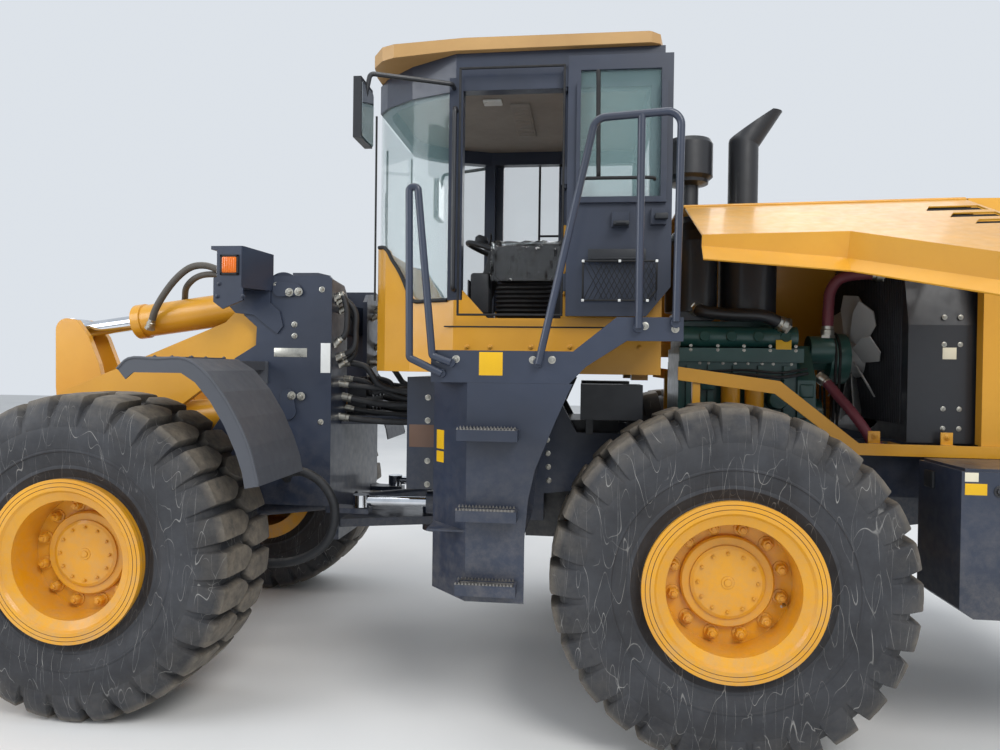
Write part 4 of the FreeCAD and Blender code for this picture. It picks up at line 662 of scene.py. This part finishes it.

# %% [markdown]
# ## Hydraulic hoses
# Hoses are braided rubber with swaged steel ends, fixed at both ends, so each is a tube along a sagging curve. A hose
# that crosses the steering joint is baked where it stands and rides on neither frame; only its end fittings ride.


# %% Hose helper
def hose(name, points, r, body, other=None, look=None, ends=True, ribs=0.0, bend=None):
    """Tube through the points in millimetres; ferrules and hexagon nuts ride at each end. With another body the hose is
    baked where it stands, and its far fitting rides on that body unless bend is given; bend's points don't shape the
    hose."""
    pts = [mm(p) for p in points]
    piece = Kit(name, body, look or HOSE, "black", 60).tube(pts, r, 14, 10, ribs).done(rides=not other)
    if other:
        a, b = bend or (points[1], points[-2])
        tuple(mm(a))
        tuple(mm(b))
        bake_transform(piece)
    if ends:
        line = curve_through(pts, 10)
        for tag, a, b, owner in (("a", line[0], line[3], body), ("b", line[-1], line[-4], body if bend else other or body)):
            way = (b - a) / np.linalg.norm(b - a)
            fit = Kit(name + "_fitting_" + tag, owner, ZINC, "steel")
            fit.lathe(a, way, [(-0.004, r * 1.25), (0.030, r * 1.25), (0.034, r * 1.08), (0.052, r * 1.08)], 18)
            fit.lathe(a, way, [(-0.018, r * 1.45), (-0.002, r * 1.45)], 6)
            fit.done()
    return piece


# %% Hoses on the tower and over the steering joint
hose("tilt_hose_outer", [(1905, 128, 1985), (1850, 150, 2110), (1735, 130, 2290), (1640, 110, 2372), (1545, 105, 2384), (1440, 100, 2352),
                         (1250, 95, 2300), (1080, 80, 2268), (985, 60, 2262)], 0.022, "tilt_barrel_body", look=DUSTY_HOSE)
hose("tilt_hose_inner", [(1880, -128, 1995), (1850, -120, 2090), (1780, -60, 2170), (1700, 50, 2256), (1600, 88, 2316), (1500, 84, 2330),
                         (1400, 60, 2308), (1200, 20, 2280), (1010, 0, 2268)], 0.020, "tilt_barrel_body", look=DUSTY_HOSE)
for i, (y, back, top, low) in enumerate(((430, 492, 2150, 1880), (392, 452, 2130, 1800), (340, 470, 2080, 1760))):
    for s, tag in ((1, "left"), (-1, "right")):
        hose(f"tower_loop_{i}_{tag}", [(556, s * y, top), (520, s * y, top + 12), (back, s * y, top - 60), (back - 4, s * y, (top + low) / 2),
                                       (back + 8, s * y, low + 50), (556, s * y, low)], 0.017, "front", "rear",
             bend=((556, s * y, 1900), (240, s * y, 1900)))
for i, (y, z, r) in enumerate(((300, 1767, 0.019), (245, 1668, 0.017))):
    for s, tag in ((1, "left"), (-1, "right")):
        hose(f"high_hose_{i}_{tag}", [(556, s * y, z), (480, s * y, z - 4), (410, s * y, z - 26), (366, s * y, z - 80), (330, s * y, 1640 - 40 * i),
                                      (200, s * y * 0.9, 1600 - 40 * i), (40, s * y * 0.9, 1585 - 40 * i), (-100, s * y, 1592 - 40 * i)], r, "front", "rear")
for i, (y, z, r) in enumerate(((335, 1640, 0.016), (275, 1560, 0.021), (222, 1490, 0.017), (320, 1440, 0.019))):
    for s, tag in ((1, "left"), (-1, "right")):
        sag = 26 + 9 * ((i * 2) % 3)
        hose(f"joint_hose_{i}_{tag}", [(556, s * y, z), (470, s * y * 0.98, z - sag * 0.4), (300, s * y * 0.86, z - sag), (120, s * y * 0.8, z - sag),
                                       (-20, s * y * 0.9, z - sag * 0.5), (-110, s * y, z - 10)], r, "front", "rear")
hose("drop_hose_left", [(820, 488, 1085), (800, 560, 1120), (740, 612, 1142), (660, 640, 1148), (560, 640, 1095), (485, 640, 980), (485, 640, 850),
                        (545, 640, 735), (680, 640, 655), (860, 630, 625), (1060, 605, 640), (1260, 580, 690), (1440, 560, 738)], 0.025, "front", ribs=0.06, ends=False)
print("hoses done")

# %% [markdown]
# ## Cab outside
# The doorway is closed by a rubber seal, the raised door carries a grab tube, a latch bar and an elastic net pocket on
# its inner face, and the windscreen has its wiper.

# %% Doorway seals and glass gaskets
seal = Kit("door_seals", "rear", GASKET, "black")
for s in (1, -1):
    for a, b in (((-238, 2030), (-226, 3316)), ((-782, 2030), (-770, 3316)), ((-782, 3306), (-226, 3318)), ((-782, 2020), (-226, 2032))):
        seal.block(mm(a[0], s * 797, a[1]), mm(b[0], s * 808, b[1]), 0.004)
for p in ([(320, -440, 2130), (321, -440, 3200)], [(320, 440, 2130), (321, 440, 3200)]):
    seal.rod(mm(p[0]), mm(p[1]), 0.006, 10)
seal.done()
edge = Kit("windscreen_gasket", "rear", GASKET, "black")
low_edge = np.array([(292, 455, 2436), (245, 518, 2425), (216, 541, 2398), (188, 563, 2352), (150, 586, 2300), (112, 610, 2238),
                     (76, 636, 2165), (40, 664, 2110), (-60, 702, 2108), (-163, 741, 2108)])
for s in (1, -1):
    edge.tube([mm(p * (1, s, 1)) for p in low_edge], 0.011, 10, 6)
edge.done()
trim_line = Kit("cab_waist_strip", "rear", GASKET, "black")
for s in (1, -1):
    trim_line.block(mm(-1288, s * 749, 1962), mm(-150, s * 753, 1970), 0.0015)
trim_line.done()

# %% Door inner face
tubes = Kit("door_grab_tubes", "door_left", GASKET, "black")
tubes.tube([mm(p) for p in ((-946, 866, 3236), (-946, 905, 3232), (-947, 915, 3200), (-950, 915, 2960), (-953, 915, 2760), (-954, 905, 2722),
                            (-954, 866, 2716))], 0.011, 14, 8)
tubes.tube([mm(p) for p in ((-868, 866, 2703), (-880, 898, 2703), (-930, 905, 2703), (-1100, 905, 2703), (-1196, 905, 2703), (-1226, 895, 2703),
                            (-1234, 866, 2703))], 0.009, 12, 8)
tubes.done()
latch = Kit("door_latch_parts", "door_left", CONSOLE, "console")
latch.block(mm(-1196, 863, 2298), mm(-908, 867, 2356), 0.004)
latch.block(mm(-1190, 866, 2304), mm(-914, 874, 2312), 0.003)
latch.block(mm(-1110, 866, 2470), mm(-1030, 905, 2492), 0.006)
latch.rod(mm(-1094, 905, 2481), mm(-1046, 905, 2481), 0.006)
latch.block(mm(-1300, 866, 2500), mm(-1236, 900, 2530), 0.006)
latch.done()
net = Kit("door_net", "door_left", GASKET, "black", 60)
for i in range(15):
    for k in (-1, 1):
        a = -1250 + (i - 4) * 26.2
        z0, z1, x0, x1 = 2096.0, 2294.0, a, a + k * 105
        u = np.linspace(0, 1, 5)
        xs = np.clip(x0 + (x1 - x0) * u + (0 if k > 0 else 105), -1248, -886)
        net.skin([mm(x, 869 + 9 * sin(pi * t), z0 + (z1 - z0) * t) + 0.0019 * np.array([(1, 0, 0), (0, 1, 0), (-1, 0, 0), (0, -1, 0)])
                  for x, t in zip(xs, u)])
for a, b in (((-1250, 2294), (-884, 2294)), ((-1206, 2096), (-884, 2096)), ((-1206, 2096), (-1250, 2150)), ((-1250, 2150), (-1250, 2294)), ((-884, 2096), (-884, 2294))):
    net.rod(mm(a[0], 871, a[1]), mm(b[0], 871, b[1]), 0.005, 8)
net.done()
clips = Kit("net_clips", "door_left", WHITE, "trim")
for x, z in ((-1250, 2294), (-884, 2294), (-1206, 2096), (-884, 2096), (-1067, 2294), (-1067, 2096)):
    clips.block(mm(x - 7, 866, z - 7), mm(x + 7, 878, z + 7), 0.003)
clips.done()

# %% Right door bars
bars = Kit("door_glazing_bars", "door_right", GASKET, "black")
bars.block(mm(-566, -779, 2622), mm(-550, -762, 3278), 0.003)
bars.block(mm(-702, -779, 2708), mm(-550, -762, 2722), 0.003)
bars.done()

# %% Wiper, mirrors and roof
wiper = Kit("wiper", "rear", GASKET, "black")
wiper.rod(mm(318, 60, 2320), mm(352, 60, 2320), 0.018)
wiper.tube([mm(345, 60, 2320), mm(350, 90, 2500), mm(340, 150, 2740), mm(334, 170, 2820)], 0.007, 8, 6)
wiper.block(mm(322, 166, 2560), mm(334, 176, 3080), 0.003)
wiper.done()
mirror = Kit("mirror_glass", "rear", MIRROR, "glass")
for s in (1, -1):
    mirror.plate([mm(214.5, s * y, z) for y, z in ((880, 2890), (1060, 2890), (1068, 2900), (1068, 3150), (1058, 3162), (882, 3162), (872, 3150),
                                                    (872, 2900))], (-0.0025, 0, 0), 0.0008)
mirror.done()
roof_trim = Kit("roof_gasket", "rear", GASKET, "black")
roof_trim.lathe(mm(60, 420, 3462), (0, 0, 1), [(0, 0.060), (0.012, 0.060), (0.016, 0.056)], 40)
roof_trim.done()
print("cab outside dressed")

# %% [markdown]
# ## Cab inside
# The operator sits on a foam pad under sewn vinyl, still wrapped in clear film, on a bellows that hides the
# suspension. A pad is a rounded box whose faces swell between the seams: the seams are valleys pressed across the top.


# %% Seat pads
def cushion(name, low, high, crown, seams, face):
    """A superellipsoid, so its sides pull in at the corners; seams press valleys of 9 mm across its long way.
    face is the axis that points at the driver."""
    low, high = np.array(low), np.array(high)
    mid, half = (low + high) / 2, (high - low) / 2
    rise = pi / 2 * np.sin(pi / 2 * np.linspace(-0.985, 0.985, 61))
    u, v = np.meshgrid(rise, np.linspace(-pi, pi, 97)[:-1], indexing="ij")
    bow = lambda t, e: np.sign(t) * np.abs(t) ** e
    unit = np.stack([bow(np.cos(u), 0.32) * bow(np.cos(v), 0.30), bow(np.cos(u), 0.32) * bow(np.sin(v), 0.30), bow(np.sin(u), 0.42)], -1)
    if face == 0:
        unit = unit[..., [2, 1, 0]]
    p = unit * half
    swell = crown * (1 - unit[..., 1] ** 2) * (1 - unit[..., 2 if face == 0 else 0] ** 2) * np.clip(unit[..., face], 0, 1) ** 2
    p[..., face] += swell
    for at in seams:
        p[..., face] -= 0.010 * np.exp(-((p[..., 1] - at) / 0.008) ** 2) * np.clip(unit[..., face], 0, 1) ** 3
    p[..., face] += 0.0016 * np.sin(p[..., 1] * 90 + 2 * np.sin(p[..., 0] * 23)) * np.clip(unit[..., face], 0, 1)
    kit = Kit(name, "rear", VINYL, "seat", 60).skin(mid + p)
    piece = kit.done()
    return piece


pad = cushion("seat_pad", mm(-1075, -236, 2096), mm(-566, 236, 2196), 0.010, (-0.105 - 0.05445, 0.105 - 0.05445), 2)
back = cushion("seat_back_pad", mm(-1194, -236, 2180), mm(-1080, 236, 2690), 0.010, (-0.105 - 0.05445, 0.105 - 0.05445), 0)
head = cushion("head_rest", mm(-1188, -130, 2640), mm(-1098, 130, 2756), 0.006, (), 0)
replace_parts(pad, "seat")
arm = cushion("arm_pad", mm(-1004, 232, 2238), mm(-368, 408, 2466), 0.006, (), 2)

# %% Film, bellows and controls
film = Kit("seat_film", "rear", FILM, "glass", 60)
u, v = np.meshgrid(np.linspace(0, 1, 40), np.linspace(0, 1, 36), indexing="ij")
fold = 0.006 * np.sin(31 * u + 9 * np.sin(11 * v)) + 0.004 * np.sin(53 * v + 6 * np.sin(17 * u))
sheet = np.stack([-1.08 + 0.53 * u, -0.245 + 0.49 * v, 2.214 + fold - 0.05 * (np.abs(2 * v - 1) ** 6) - 0.06 * u ** 8], -1)
under = sheet - (0, 0, 0.0012)
film.skin(np.concatenate([sheet, under[:, ::-1]], 1) + SHIFT)
film_piece = film.done()
arm_film = Kit("armrest_film", "rear", FILM, "glass", 60)
path = curve_through([(0, 224, 2262), (0, 226, 2360), (0, 236, 2460), (0, 320, 2482), (0, 404, 2460), (0, 414, 2360), (0, 416, 2250)], 7)
u, k = np.meshgrid(np.linspace(0, 1, 44), np.arange(len(path)), indexing="ij")
wave = 5 * np.sin(29 * u + 0.5 * k) + 4 * np.sin(17 * u - 0.9 * k) + 3 * np.sin(47 * u + 0.3 * k)
sheet = np.stack([-1010 + 655 * u + 2 * np.sin(k), path[k, 1] + np.abs(wave) * np.sign(path[k, 1] - 320), path[k, 2] + np.abs(wave) * (path[k, 2] > 2440)], -1)
arm_film.skin(mm(np.concatenate([sheet, (sheet + (0, 0, -1.2))[:, ::-1]], 1)))
arm_film.done()
bellows = Kit("seat_bellows", "rear", GASKET, "black")
levels = np.repeat(np.linspace(1800, 2085, 10), 2) + np.tile([0, 15.0], 10)
rings = []
for i, z in enumerate(levels):
    a, b = (215, 195) if (i // 1) % 2 else (188, 168)
    t = np.linspace(0, 2 * pi, 40, endpoint=False)
    rings.append(mm(np.stack([-800 + a * np.sign(np.cos(t)) * np.abs(np.cos(t)) ** 0.4, b * np.sign(np.sin(t)) * np.abs(np.sin(t)) ** 0.4, z + 0 * t], -1)))
bellows.skin(rings)
for low, high, count in ((2040, 2236, 8),):
    steps = np.repeat(np.linspace(low, high - 12, count), 2) + np.tile([0, 12.0], count)
    ribs = []
    for i, z in enumerate(steps):
        a, b = (182, 78) if i % 2 else (164, 62)
        t = np.linspace(0, 2 * pi, 40, endpoint=False)
        ribs.append(mm(np.stack([-556 + a * np.sign(np.cos(t)) * np.abs(np.cos(t)) ** 0.4,
                                 320 + b * np.sign(np.sin(t)) * np.abs(np.sin(t)) ** 0.4, z + 0 * t], -1)))
    bellows.skin(ribs)
bellows.done()
controls = Kit("control_levers", "rear", CONSOLE, "console")
for x, y, lean in ((-700, -330, 0.10), (-640, -330, 0.12), (-580, -330, 0.14)):
    controls.lathe(mm(x, y, 2462), (0, 0, 1), [(0, 0.026), (0.012, 0.020), (0.022, 0.008)], 20)
    controls.tube([mm(x, y, 2466), mm(x + 5, y, 2490), mm(x + 14, y, 2512)], 0.006, 10, 4)
    controls.lathe(mm(x + 14, y, 2508), (0.2, 0, 1), [(0, 0.010), (0.010, 0.016), (0.026, 0.018), (0.040, 0.012), (0.046, 0.006)], 20)
controls.block(mm(-345, 240, 2060), mm(-232, 390, 2300), 0.018)
controls.block(mm(-225, 250, 2090), mm(-215, 380, 2260), 0.006)
controls.lathe(mm(-245, 0, 2560), (0.34, 0, -0.94), [(-0.02, 0.03), (0.0, 0.045), (0.03, 0.04)], 28)
controls.tube([mm(-300, 40, 2520), mm(-320, 140, 2545), mm(-325, 190, 2560)], 0.006, 8, 4)
controls.done()
lamp = Kit("dome_lamp", "rear", WHITE, "trim")
lamp.block(mm(-400, 300, 3290), mm(-290, 380, 3306), 0.008)
lamp.done()
grille = Kit("ceiling_panel", "rear", TRIM, "trim")
grille.block(mm(-560, -300, 3290), mm(-440, 300, 3306), 0.012)
for i in range(9):
    grille.block(mm(-548, -280 + i * 64, 3286), mm(-452, -250 + i * 64, 3294), 0.003)
grille.done()
print("cab inside dressed")

# %% [markdown]
# ## Platforms and ladder
# The walkways are tread plate with raised studs, each a flat-topped drop repeated on a staggered grid. The ladder's
# trays have serrated edges, and blank labels show where the plates of the real machine sit.

# %% Tread plate
stud = np.array([(-1, 0, 0), (0, -0.28, 0), (1, 0, 0), (0, 0.28, 0), (-0.55, 0, 0.2), (0, -0.14, 0.2), (0.55, 0, 0.2), (0, 0.14, 0.2)])
tread = Kit("tread_studs", "rear", SLATE, "slate")
for x0, x1, z in ((-836, -230, 1800), (-1310, -1050, 1960)):
    gx, gy = np.meshgrid(np.arange(x0, x1, 26), np.arange(830, 1320, 26))
    gx, gy = gx.ravel(), gy.ravel()
    turned = ((gx - x0) / 26 + (gy - 830) / 26).round().astype(int) % 2
    for s in (1, -1):
        for x, y, flip in zip(gx, gy, turned):
            p = stud * 10.5
            p = p[:, [1, 0, 2]] * (1, -1, 1) if flip else p
            q = mm(p + (x, s * y, z))
            tread.skin([q[:4], q[4:]])
tread.done()

# %% Ladder details
teeth = Kit("step_teeth", "rear", STEEL, "steel")
for z in (1475, 1118, 790):
    for s in (1, -1):
        for i in range(17):
            x = -598 + i * 15.5
            for y in (1332, 1412):
                teeth.plate([mm(x, s * y, z - 1), mm(x + 12, s * y, z - 1), mm(x + 7, s * y, z + 11), mm(x + 5, s * y, z + 11)], (0, s * 0.007, 0), 0.0006)
        for i in range(3):
            teeth.block(mm(-598, s * (1350 + i * 22), z - 22), mm(-352, s * (1356 + i * 22), z - 3), 0.001)
teeth.done()
edge_bolts = Kit("cab_edge_bolts", "rear", YELLOW, "body_yellow")
for p in both([(-276, 750, 1858), (-400, 750, 1859), (-617, 750, 1861), (-822, 750, 1863), (-1000, 750, 1863), (-1180, 750, 1863)]):
    edge_bolts.bolt(mm(p), side_sign(p), 0.010)
edge_bolts.done()
edge_bolts = Kit("platform_bolts", "rear", ZINC, "steel")
for z in (1572, 1439, 1205, 1069):
    for s in (1, -1):
        edge_bolts.bolt(mm(-3, s * 440, z), (0, s, 0), 0.012)
for p in both([(-668, 1330, 1787), (-753, 1330, 1788), (-1159, 1330, 1942), (-240, 1330, 1787), (-320, 1330, 1787), (-1290, 1330, 1930)]):
    edge_bolts.bolt(mm(p), side_sign(p), 0.012)
for i in range(7):
    for s in (1, -1):
        edge_bolts.bolt(mm(-700 - i * 4, s * 810, 1590 - i * 70), (0, s, 0), 0.010)
edge_bolts.done()
labels = Kit("yellow_labels", "rear", YELLOW_LABEL, "body_yellow")
labels.block(mm(-532, 1329, 1715), mm(-425, 1331, 1820), 0.0004)
labels.plate([mm(-201, 1150, 1361), mm(-243, 1193, 1361), mm(-243, 1193, 1451), mm(-201, 1150, 1451)], (0.0012, 0.0012, 0), 0.0002)
labels.plate([mm(-201, 1150, 1298), mm(-243, 1193, 1298), mm(-243, 1193, 1350), mm(-201, 1150, 1350)], (0.0012, 0.0012, 0), 0.0002)
labels.block(mm(-2060, 299, 1874), mm(-1975, 301.5, 1928), 0.0004)
labels.block(mm(-2647, 1199, 1222), mm(-2556, 1201, 1272), 0.0004)
labels.done()
cards = Kit("pale_labels", "rear", LABEL, "trim")
cards.block(mm(-2611, 1199, 1280), mm(-2555, 1201, 1320), 0.0004)
cards.block(mm(-2795, 599, 1824), mm(-2728, 601, 1884), 0.0004)
cards.done()
frame_plate = Kit("frame_data_plate", "rear", COPPER_PLATE, "trim")
frame_plate.block(mm(-60, 439, 1284), mm(106, 441.5, 1414), 0.0006)
for x in (-54, 100):
    for z in (1290, 1408):
        frame_plate.lathe(mm(x, 441, z), (0, 1, 0), [(0, 0.0035), (0.0015, 0.003), (0.0025, 0.001)], 12)
frame_plate.done()
print("platforms dressed")

# %% [markdown]
# ## Engine bay
# The raised lid shows the engine's side cover with its bolts, the belt drive of the fan, the coolant hoses with their
# clamps, and the bolted fan shroud.

# %% Engine dress
small = Kit("engine_bolts", "rear", ZINC, "steel")
for x in (-1504, -1655, -1800, -1945, -2085):
    for z in (1892, 1868):
        small.bolt(mm(x, 299, z), (0, 1, 0), 0.0065)
for x in (-1560, -1610, -1690, -1759, -1830, -1908, -1970, -2070):
    small.bolt(mm(x, 269, 1792), (0, 1, 0), 0.006)
for x in (-2735, -2813):
    for z in (1467, 1568, 1900, 2040):
        small.bolt(mm(x, 600, z), (0, 1, 0), 0.009)
for i in range(12):
    a = radians(i * 30)
    small.bolt(mm(-2199, 240 * cos(a), 1600 + 150 * sin(a)), (-1, 0, 0), 0.009, False)
small.done()
belts = Kit("fan_belts", "rear", GASKET, "black")
for k, x in enumerate((-2352, -2376)):
    t = np.linspace(0, 2 * pi, 60, endpoint=False)
    for (ay, az, ar), (by, bz, br) in (((0, 1830, 152), (0, 1480, 112)),):
        half = np.linspace(0, pi, 24)
        loop = np.concatenate([np.stack([ay + ar * np.cos(half), az + ar * np.sin(half)], -1),
                               np.stack([by - br * np.cos(half), bz - br * np.sin(half)], -1)])
        sect = [(-8, -1), (8, -1), (6, 9), (-6, 9)]
        out = loop - loop.mean(0)
        out /= np.linalg.norm(out, axis=1)[:, None]
        belts.skin([[mm(x + sx, p[0] + o[0] * sr, p[1] + o[1] * sr) for sx, sr in sect] for p, o in zip(loop, out)], loop=True)
belts.done()
green = Kit("engine_fittings", "rear", GREEN, "engine_green")
for x in (-1580, -1730, -1880, -2030):
    green.lathe(mm(x, 292, 1945), (0, 1, 0.2), [(0, 0.030), (0.012, 0.030), (0.015, 0.027)], 24)
    green.tube([mm(x, 270, 1700), mm(x + 14, 305, 1690), mm(x + 40, 312, 1640), mm(x + 60, 300, 1560), mm(x + 64, 276, 1520)], 0.007, 10, 6)
green.block(mm(-1640, 292, 1640), mm(-1560, 330, 1720), 0.008)
green.block(mm(-2190, 180, 1600), mm(-2110, 300, 1680), 0.012)
green.lathe(mm(-1980, 300, 1590), (0, 1, 0), [(-0.03, 0.055), (0.05, 0.055), (0.062, 0.048), (0.066, 0.02)], 30)
green.done()
filters = Kit("spin_on_filters", "rear", YELLOW, "body_yellow")
for x in (-1720, -1850):
    filters.lathe(mm(x, 345, 1690), (0, 0, -1), [(0, 0.048), (0.02, 0.052), (0.15, 0.052), (0.165, 0.045), (0.17, 0.02)], 30)
filters.done()
hose("coolant_hose_low", [(-2235, 250, 1715), (-2262, 270, 1690), (-2310, 340, 1610), (-2352, 410, 1535), (-2400, 470, 1445), (-2440, 500, 1370),
                          (-2520, 500, 1345)], 0.026, "rear", look=MAROON, ribs=0.10)
hose("coolant_hose_top", [(-2300, 150, 1965), (-2301, 152, 2040), (-2302, 158, 2130), (-2306, 172, 2215), (-2345, 196, 2282), (-2450, 240, 2306), (-2556, 262, 2300)],
     0.030, "rear", look=MAROON, ribs=0.06)
hose("charge_pipe", [(-1520, 250, 2120), (-1560, 300, 2090), (-1700, 330, 2070), (-1900, 330, 2060), (-2020, 290, 2010)], 0.036, "rear", look=BLACK)
for i, (y, z) in enumerate(((320, 1760), (335, 1735), (318, 1480), (330, 1455))):
    hose(f"harness_{i}", [(-1450, y - 20, z), (-1600, y, z - 14), (-1800, y + 4, z - 5), (-2000, y, z - 18), (-2150, y - 30, z + 6)], 0.007 + 0.002 * (i % 2), "rear",
         ends=False)
brackets = Kit("sill_brackets", "rear", YELLOW, "body_yellow")
for x in (-2383, -2735):
    brackets.block(mm(x - 30, 640, 1380), mm(x + 30, 698, 1388), 0.003)
    brackets.block(mm(x - 30, 640, 1384), mm(x + 30, 648, 1450), 0.003)
    brackets.bolt(mm(x, 648, 1425), (0, 1, 0), 0.011)
brackets.done()
core = Kit("radiator_fins", "rear", BLACK, "black")
for i in range(46):
    y = -520 + i * 23.1
    core.block(mm(-2562, y, 1480), mm(-2554, y + 3, 2400), 0.0008)
core.done()
print("engine bay dressed")

# %% [markdown]
# ## Hood louvres
# Each louvre slot in the lids is backed by dark mesh, woven from crossing wires just under the sheet. The lid is placed
# by its slope, and the left one is turned up about its hinge as it stands in the photograph.

# %% Louvre mesh
HINGE_AT, HINGE_DIR = mm(-1424, 500, 2642), Vector((1446, 0, -25)).normalized()
LID_SLOPE_RAD = radians(74)


def lid_points(x, u, v, opened):
    """Points of the left lid at x, u down the slope and v above the sheet, turned up about the hinge by opened degrees."""
    x, u, v = np.broadcast_arrays(*(np.array(a, float) for a in (x, u, v)))
    line = 2642 - 25 * (x + 1424) / 1446
    p = np.stack([x, 500 + cos(LID_SLOPE_RAD) * u + sin(LID_SLOPE_RAD) * v, line - sin(LID_SLOPE_RAD) * u + cos(LID_SLOPE_RAD) * v], -1)
    turn = np.array(Matrix.Rotation(radians(opened), 3, HINGE_DIR))
    return (mm(p) - HINGE_AT) @ turn.T + HINGE_AT


LID_OPEN_DEG = 52.0
for tag, opened, flip in (("left", LID_OPEN_DEG, 1), ("right", 0, -1)):
    mesh_kit = Kit("louvre_mesh_" + tag, "lid_" + tag, GASKET, "black", 60)
    for x0, x1, u0, u1 in ((-2850, -2560, 180, 300), (-2850, -2600, 360, 470), (-2850, -2640, 530, 630)):
        lines = [((x, u0 - 6), (x, u1 + 6)) for x in np.arange(x0 - 4, x1, 14)] + [((x0 - 6, u), (x1 - 6, u)) for u in np.arange(u0 - 4, u1 + 6, 14)]
        for (xa, ua), (xb, ub) in lines:
            ends = lid_points([xa, xb], [ua, ub], [-14, -14], opened)
            if flip < 0:
                ends = (ends - SHIFT) * (1, -1, 1) + SHIFT
            mesh_kit.rod(ends[0], ends[1], 0.0016, 4, 0.0002)
    mesh_kit.done()
print("louvres done")

# %% [markdown]
# ## Counterweight, bucket and hood clips
# Last come the plough bolts through the cutting edge, the hood clips and the bolts of the counterweight.

# %% Wearing parts
wear = Kit("plough_bolts", "bucket_set", STEEL, "steel")
for y in np.arange(-1350, 1351, 225):
    wear.lathe(mm(3850, y, 66), (-0.1, 0, 1), [(0, 0.022), (0.012, 0.022), (0.016, 0.016)], 20)
wear.done()
clip = Kit("hood_clip", "rear", CONSOLE, "console")
for s in (1, -1):
    clip.block(mm(-2545, s * 870, 1210), mm(-2528, s * 960, 1290), 0.006)
    clip.block(mm(-3300, s * 1198, 900), mm(-2900, s * 1202, 906), 0.001)
clip.done()
tail_bolts = Kit("counterweight_bolts", "rear", BLACK, "black")
for s in (1, -1):
    for x, z in ((-2700, 1240), (-3500, 1240), (-3500, 860)):
        tail_bolts.bolt(mm(x, s * 1200, z), (0, s, 0), 0.018)
tail_bolts.done()
print("details done")

# %% [markdown]
# ## Floor
# A pale floor keeps the machine's shadow. The world is brighter for camera, glossy and transmission rays than for the
# light that it throws, so that metal and glass show the pale studio too.

# %% Floor and finish
material, tree, shader, spot = start("studio_floor")
feed(shader, {"Base Color": add(tree, "Mix", {"Factor": cloud(tree, spot, 1600, 3, 0.3, 0.7), "A": linear("EDEDEC"),
                                              "B": linear("E2E3E3")}, "Result", data_type="RGBA"), "Roughness": 0.75})
bpy.ops.mesh.primitive_plane_add(size=60, location=(0, 0, 0))
floor = bpy.context.object
floor.name = "studio_floor"
floor.data.materials.append(material)

tree = world.node_tree
rays = [add(tree, "LightPath", {}, f"Is {kind} Ray") for kind in ("Camera", "Glossy", "Transmission")]
seen = add(tree, "Math", {0: add(tree, "Math", {0: rays[0], 1: rays[1]}, operation="MAXIMUM"), 1: rays[2]}, operation="MAXIMUM")
feed(tree.nodes["Background"], {"Color": (0.84, 0.89, 0.95, 1), "Strength": add(tree, "MapRange", {"Value": seen, "To Min": 0.62, "To Max": 0.86})})
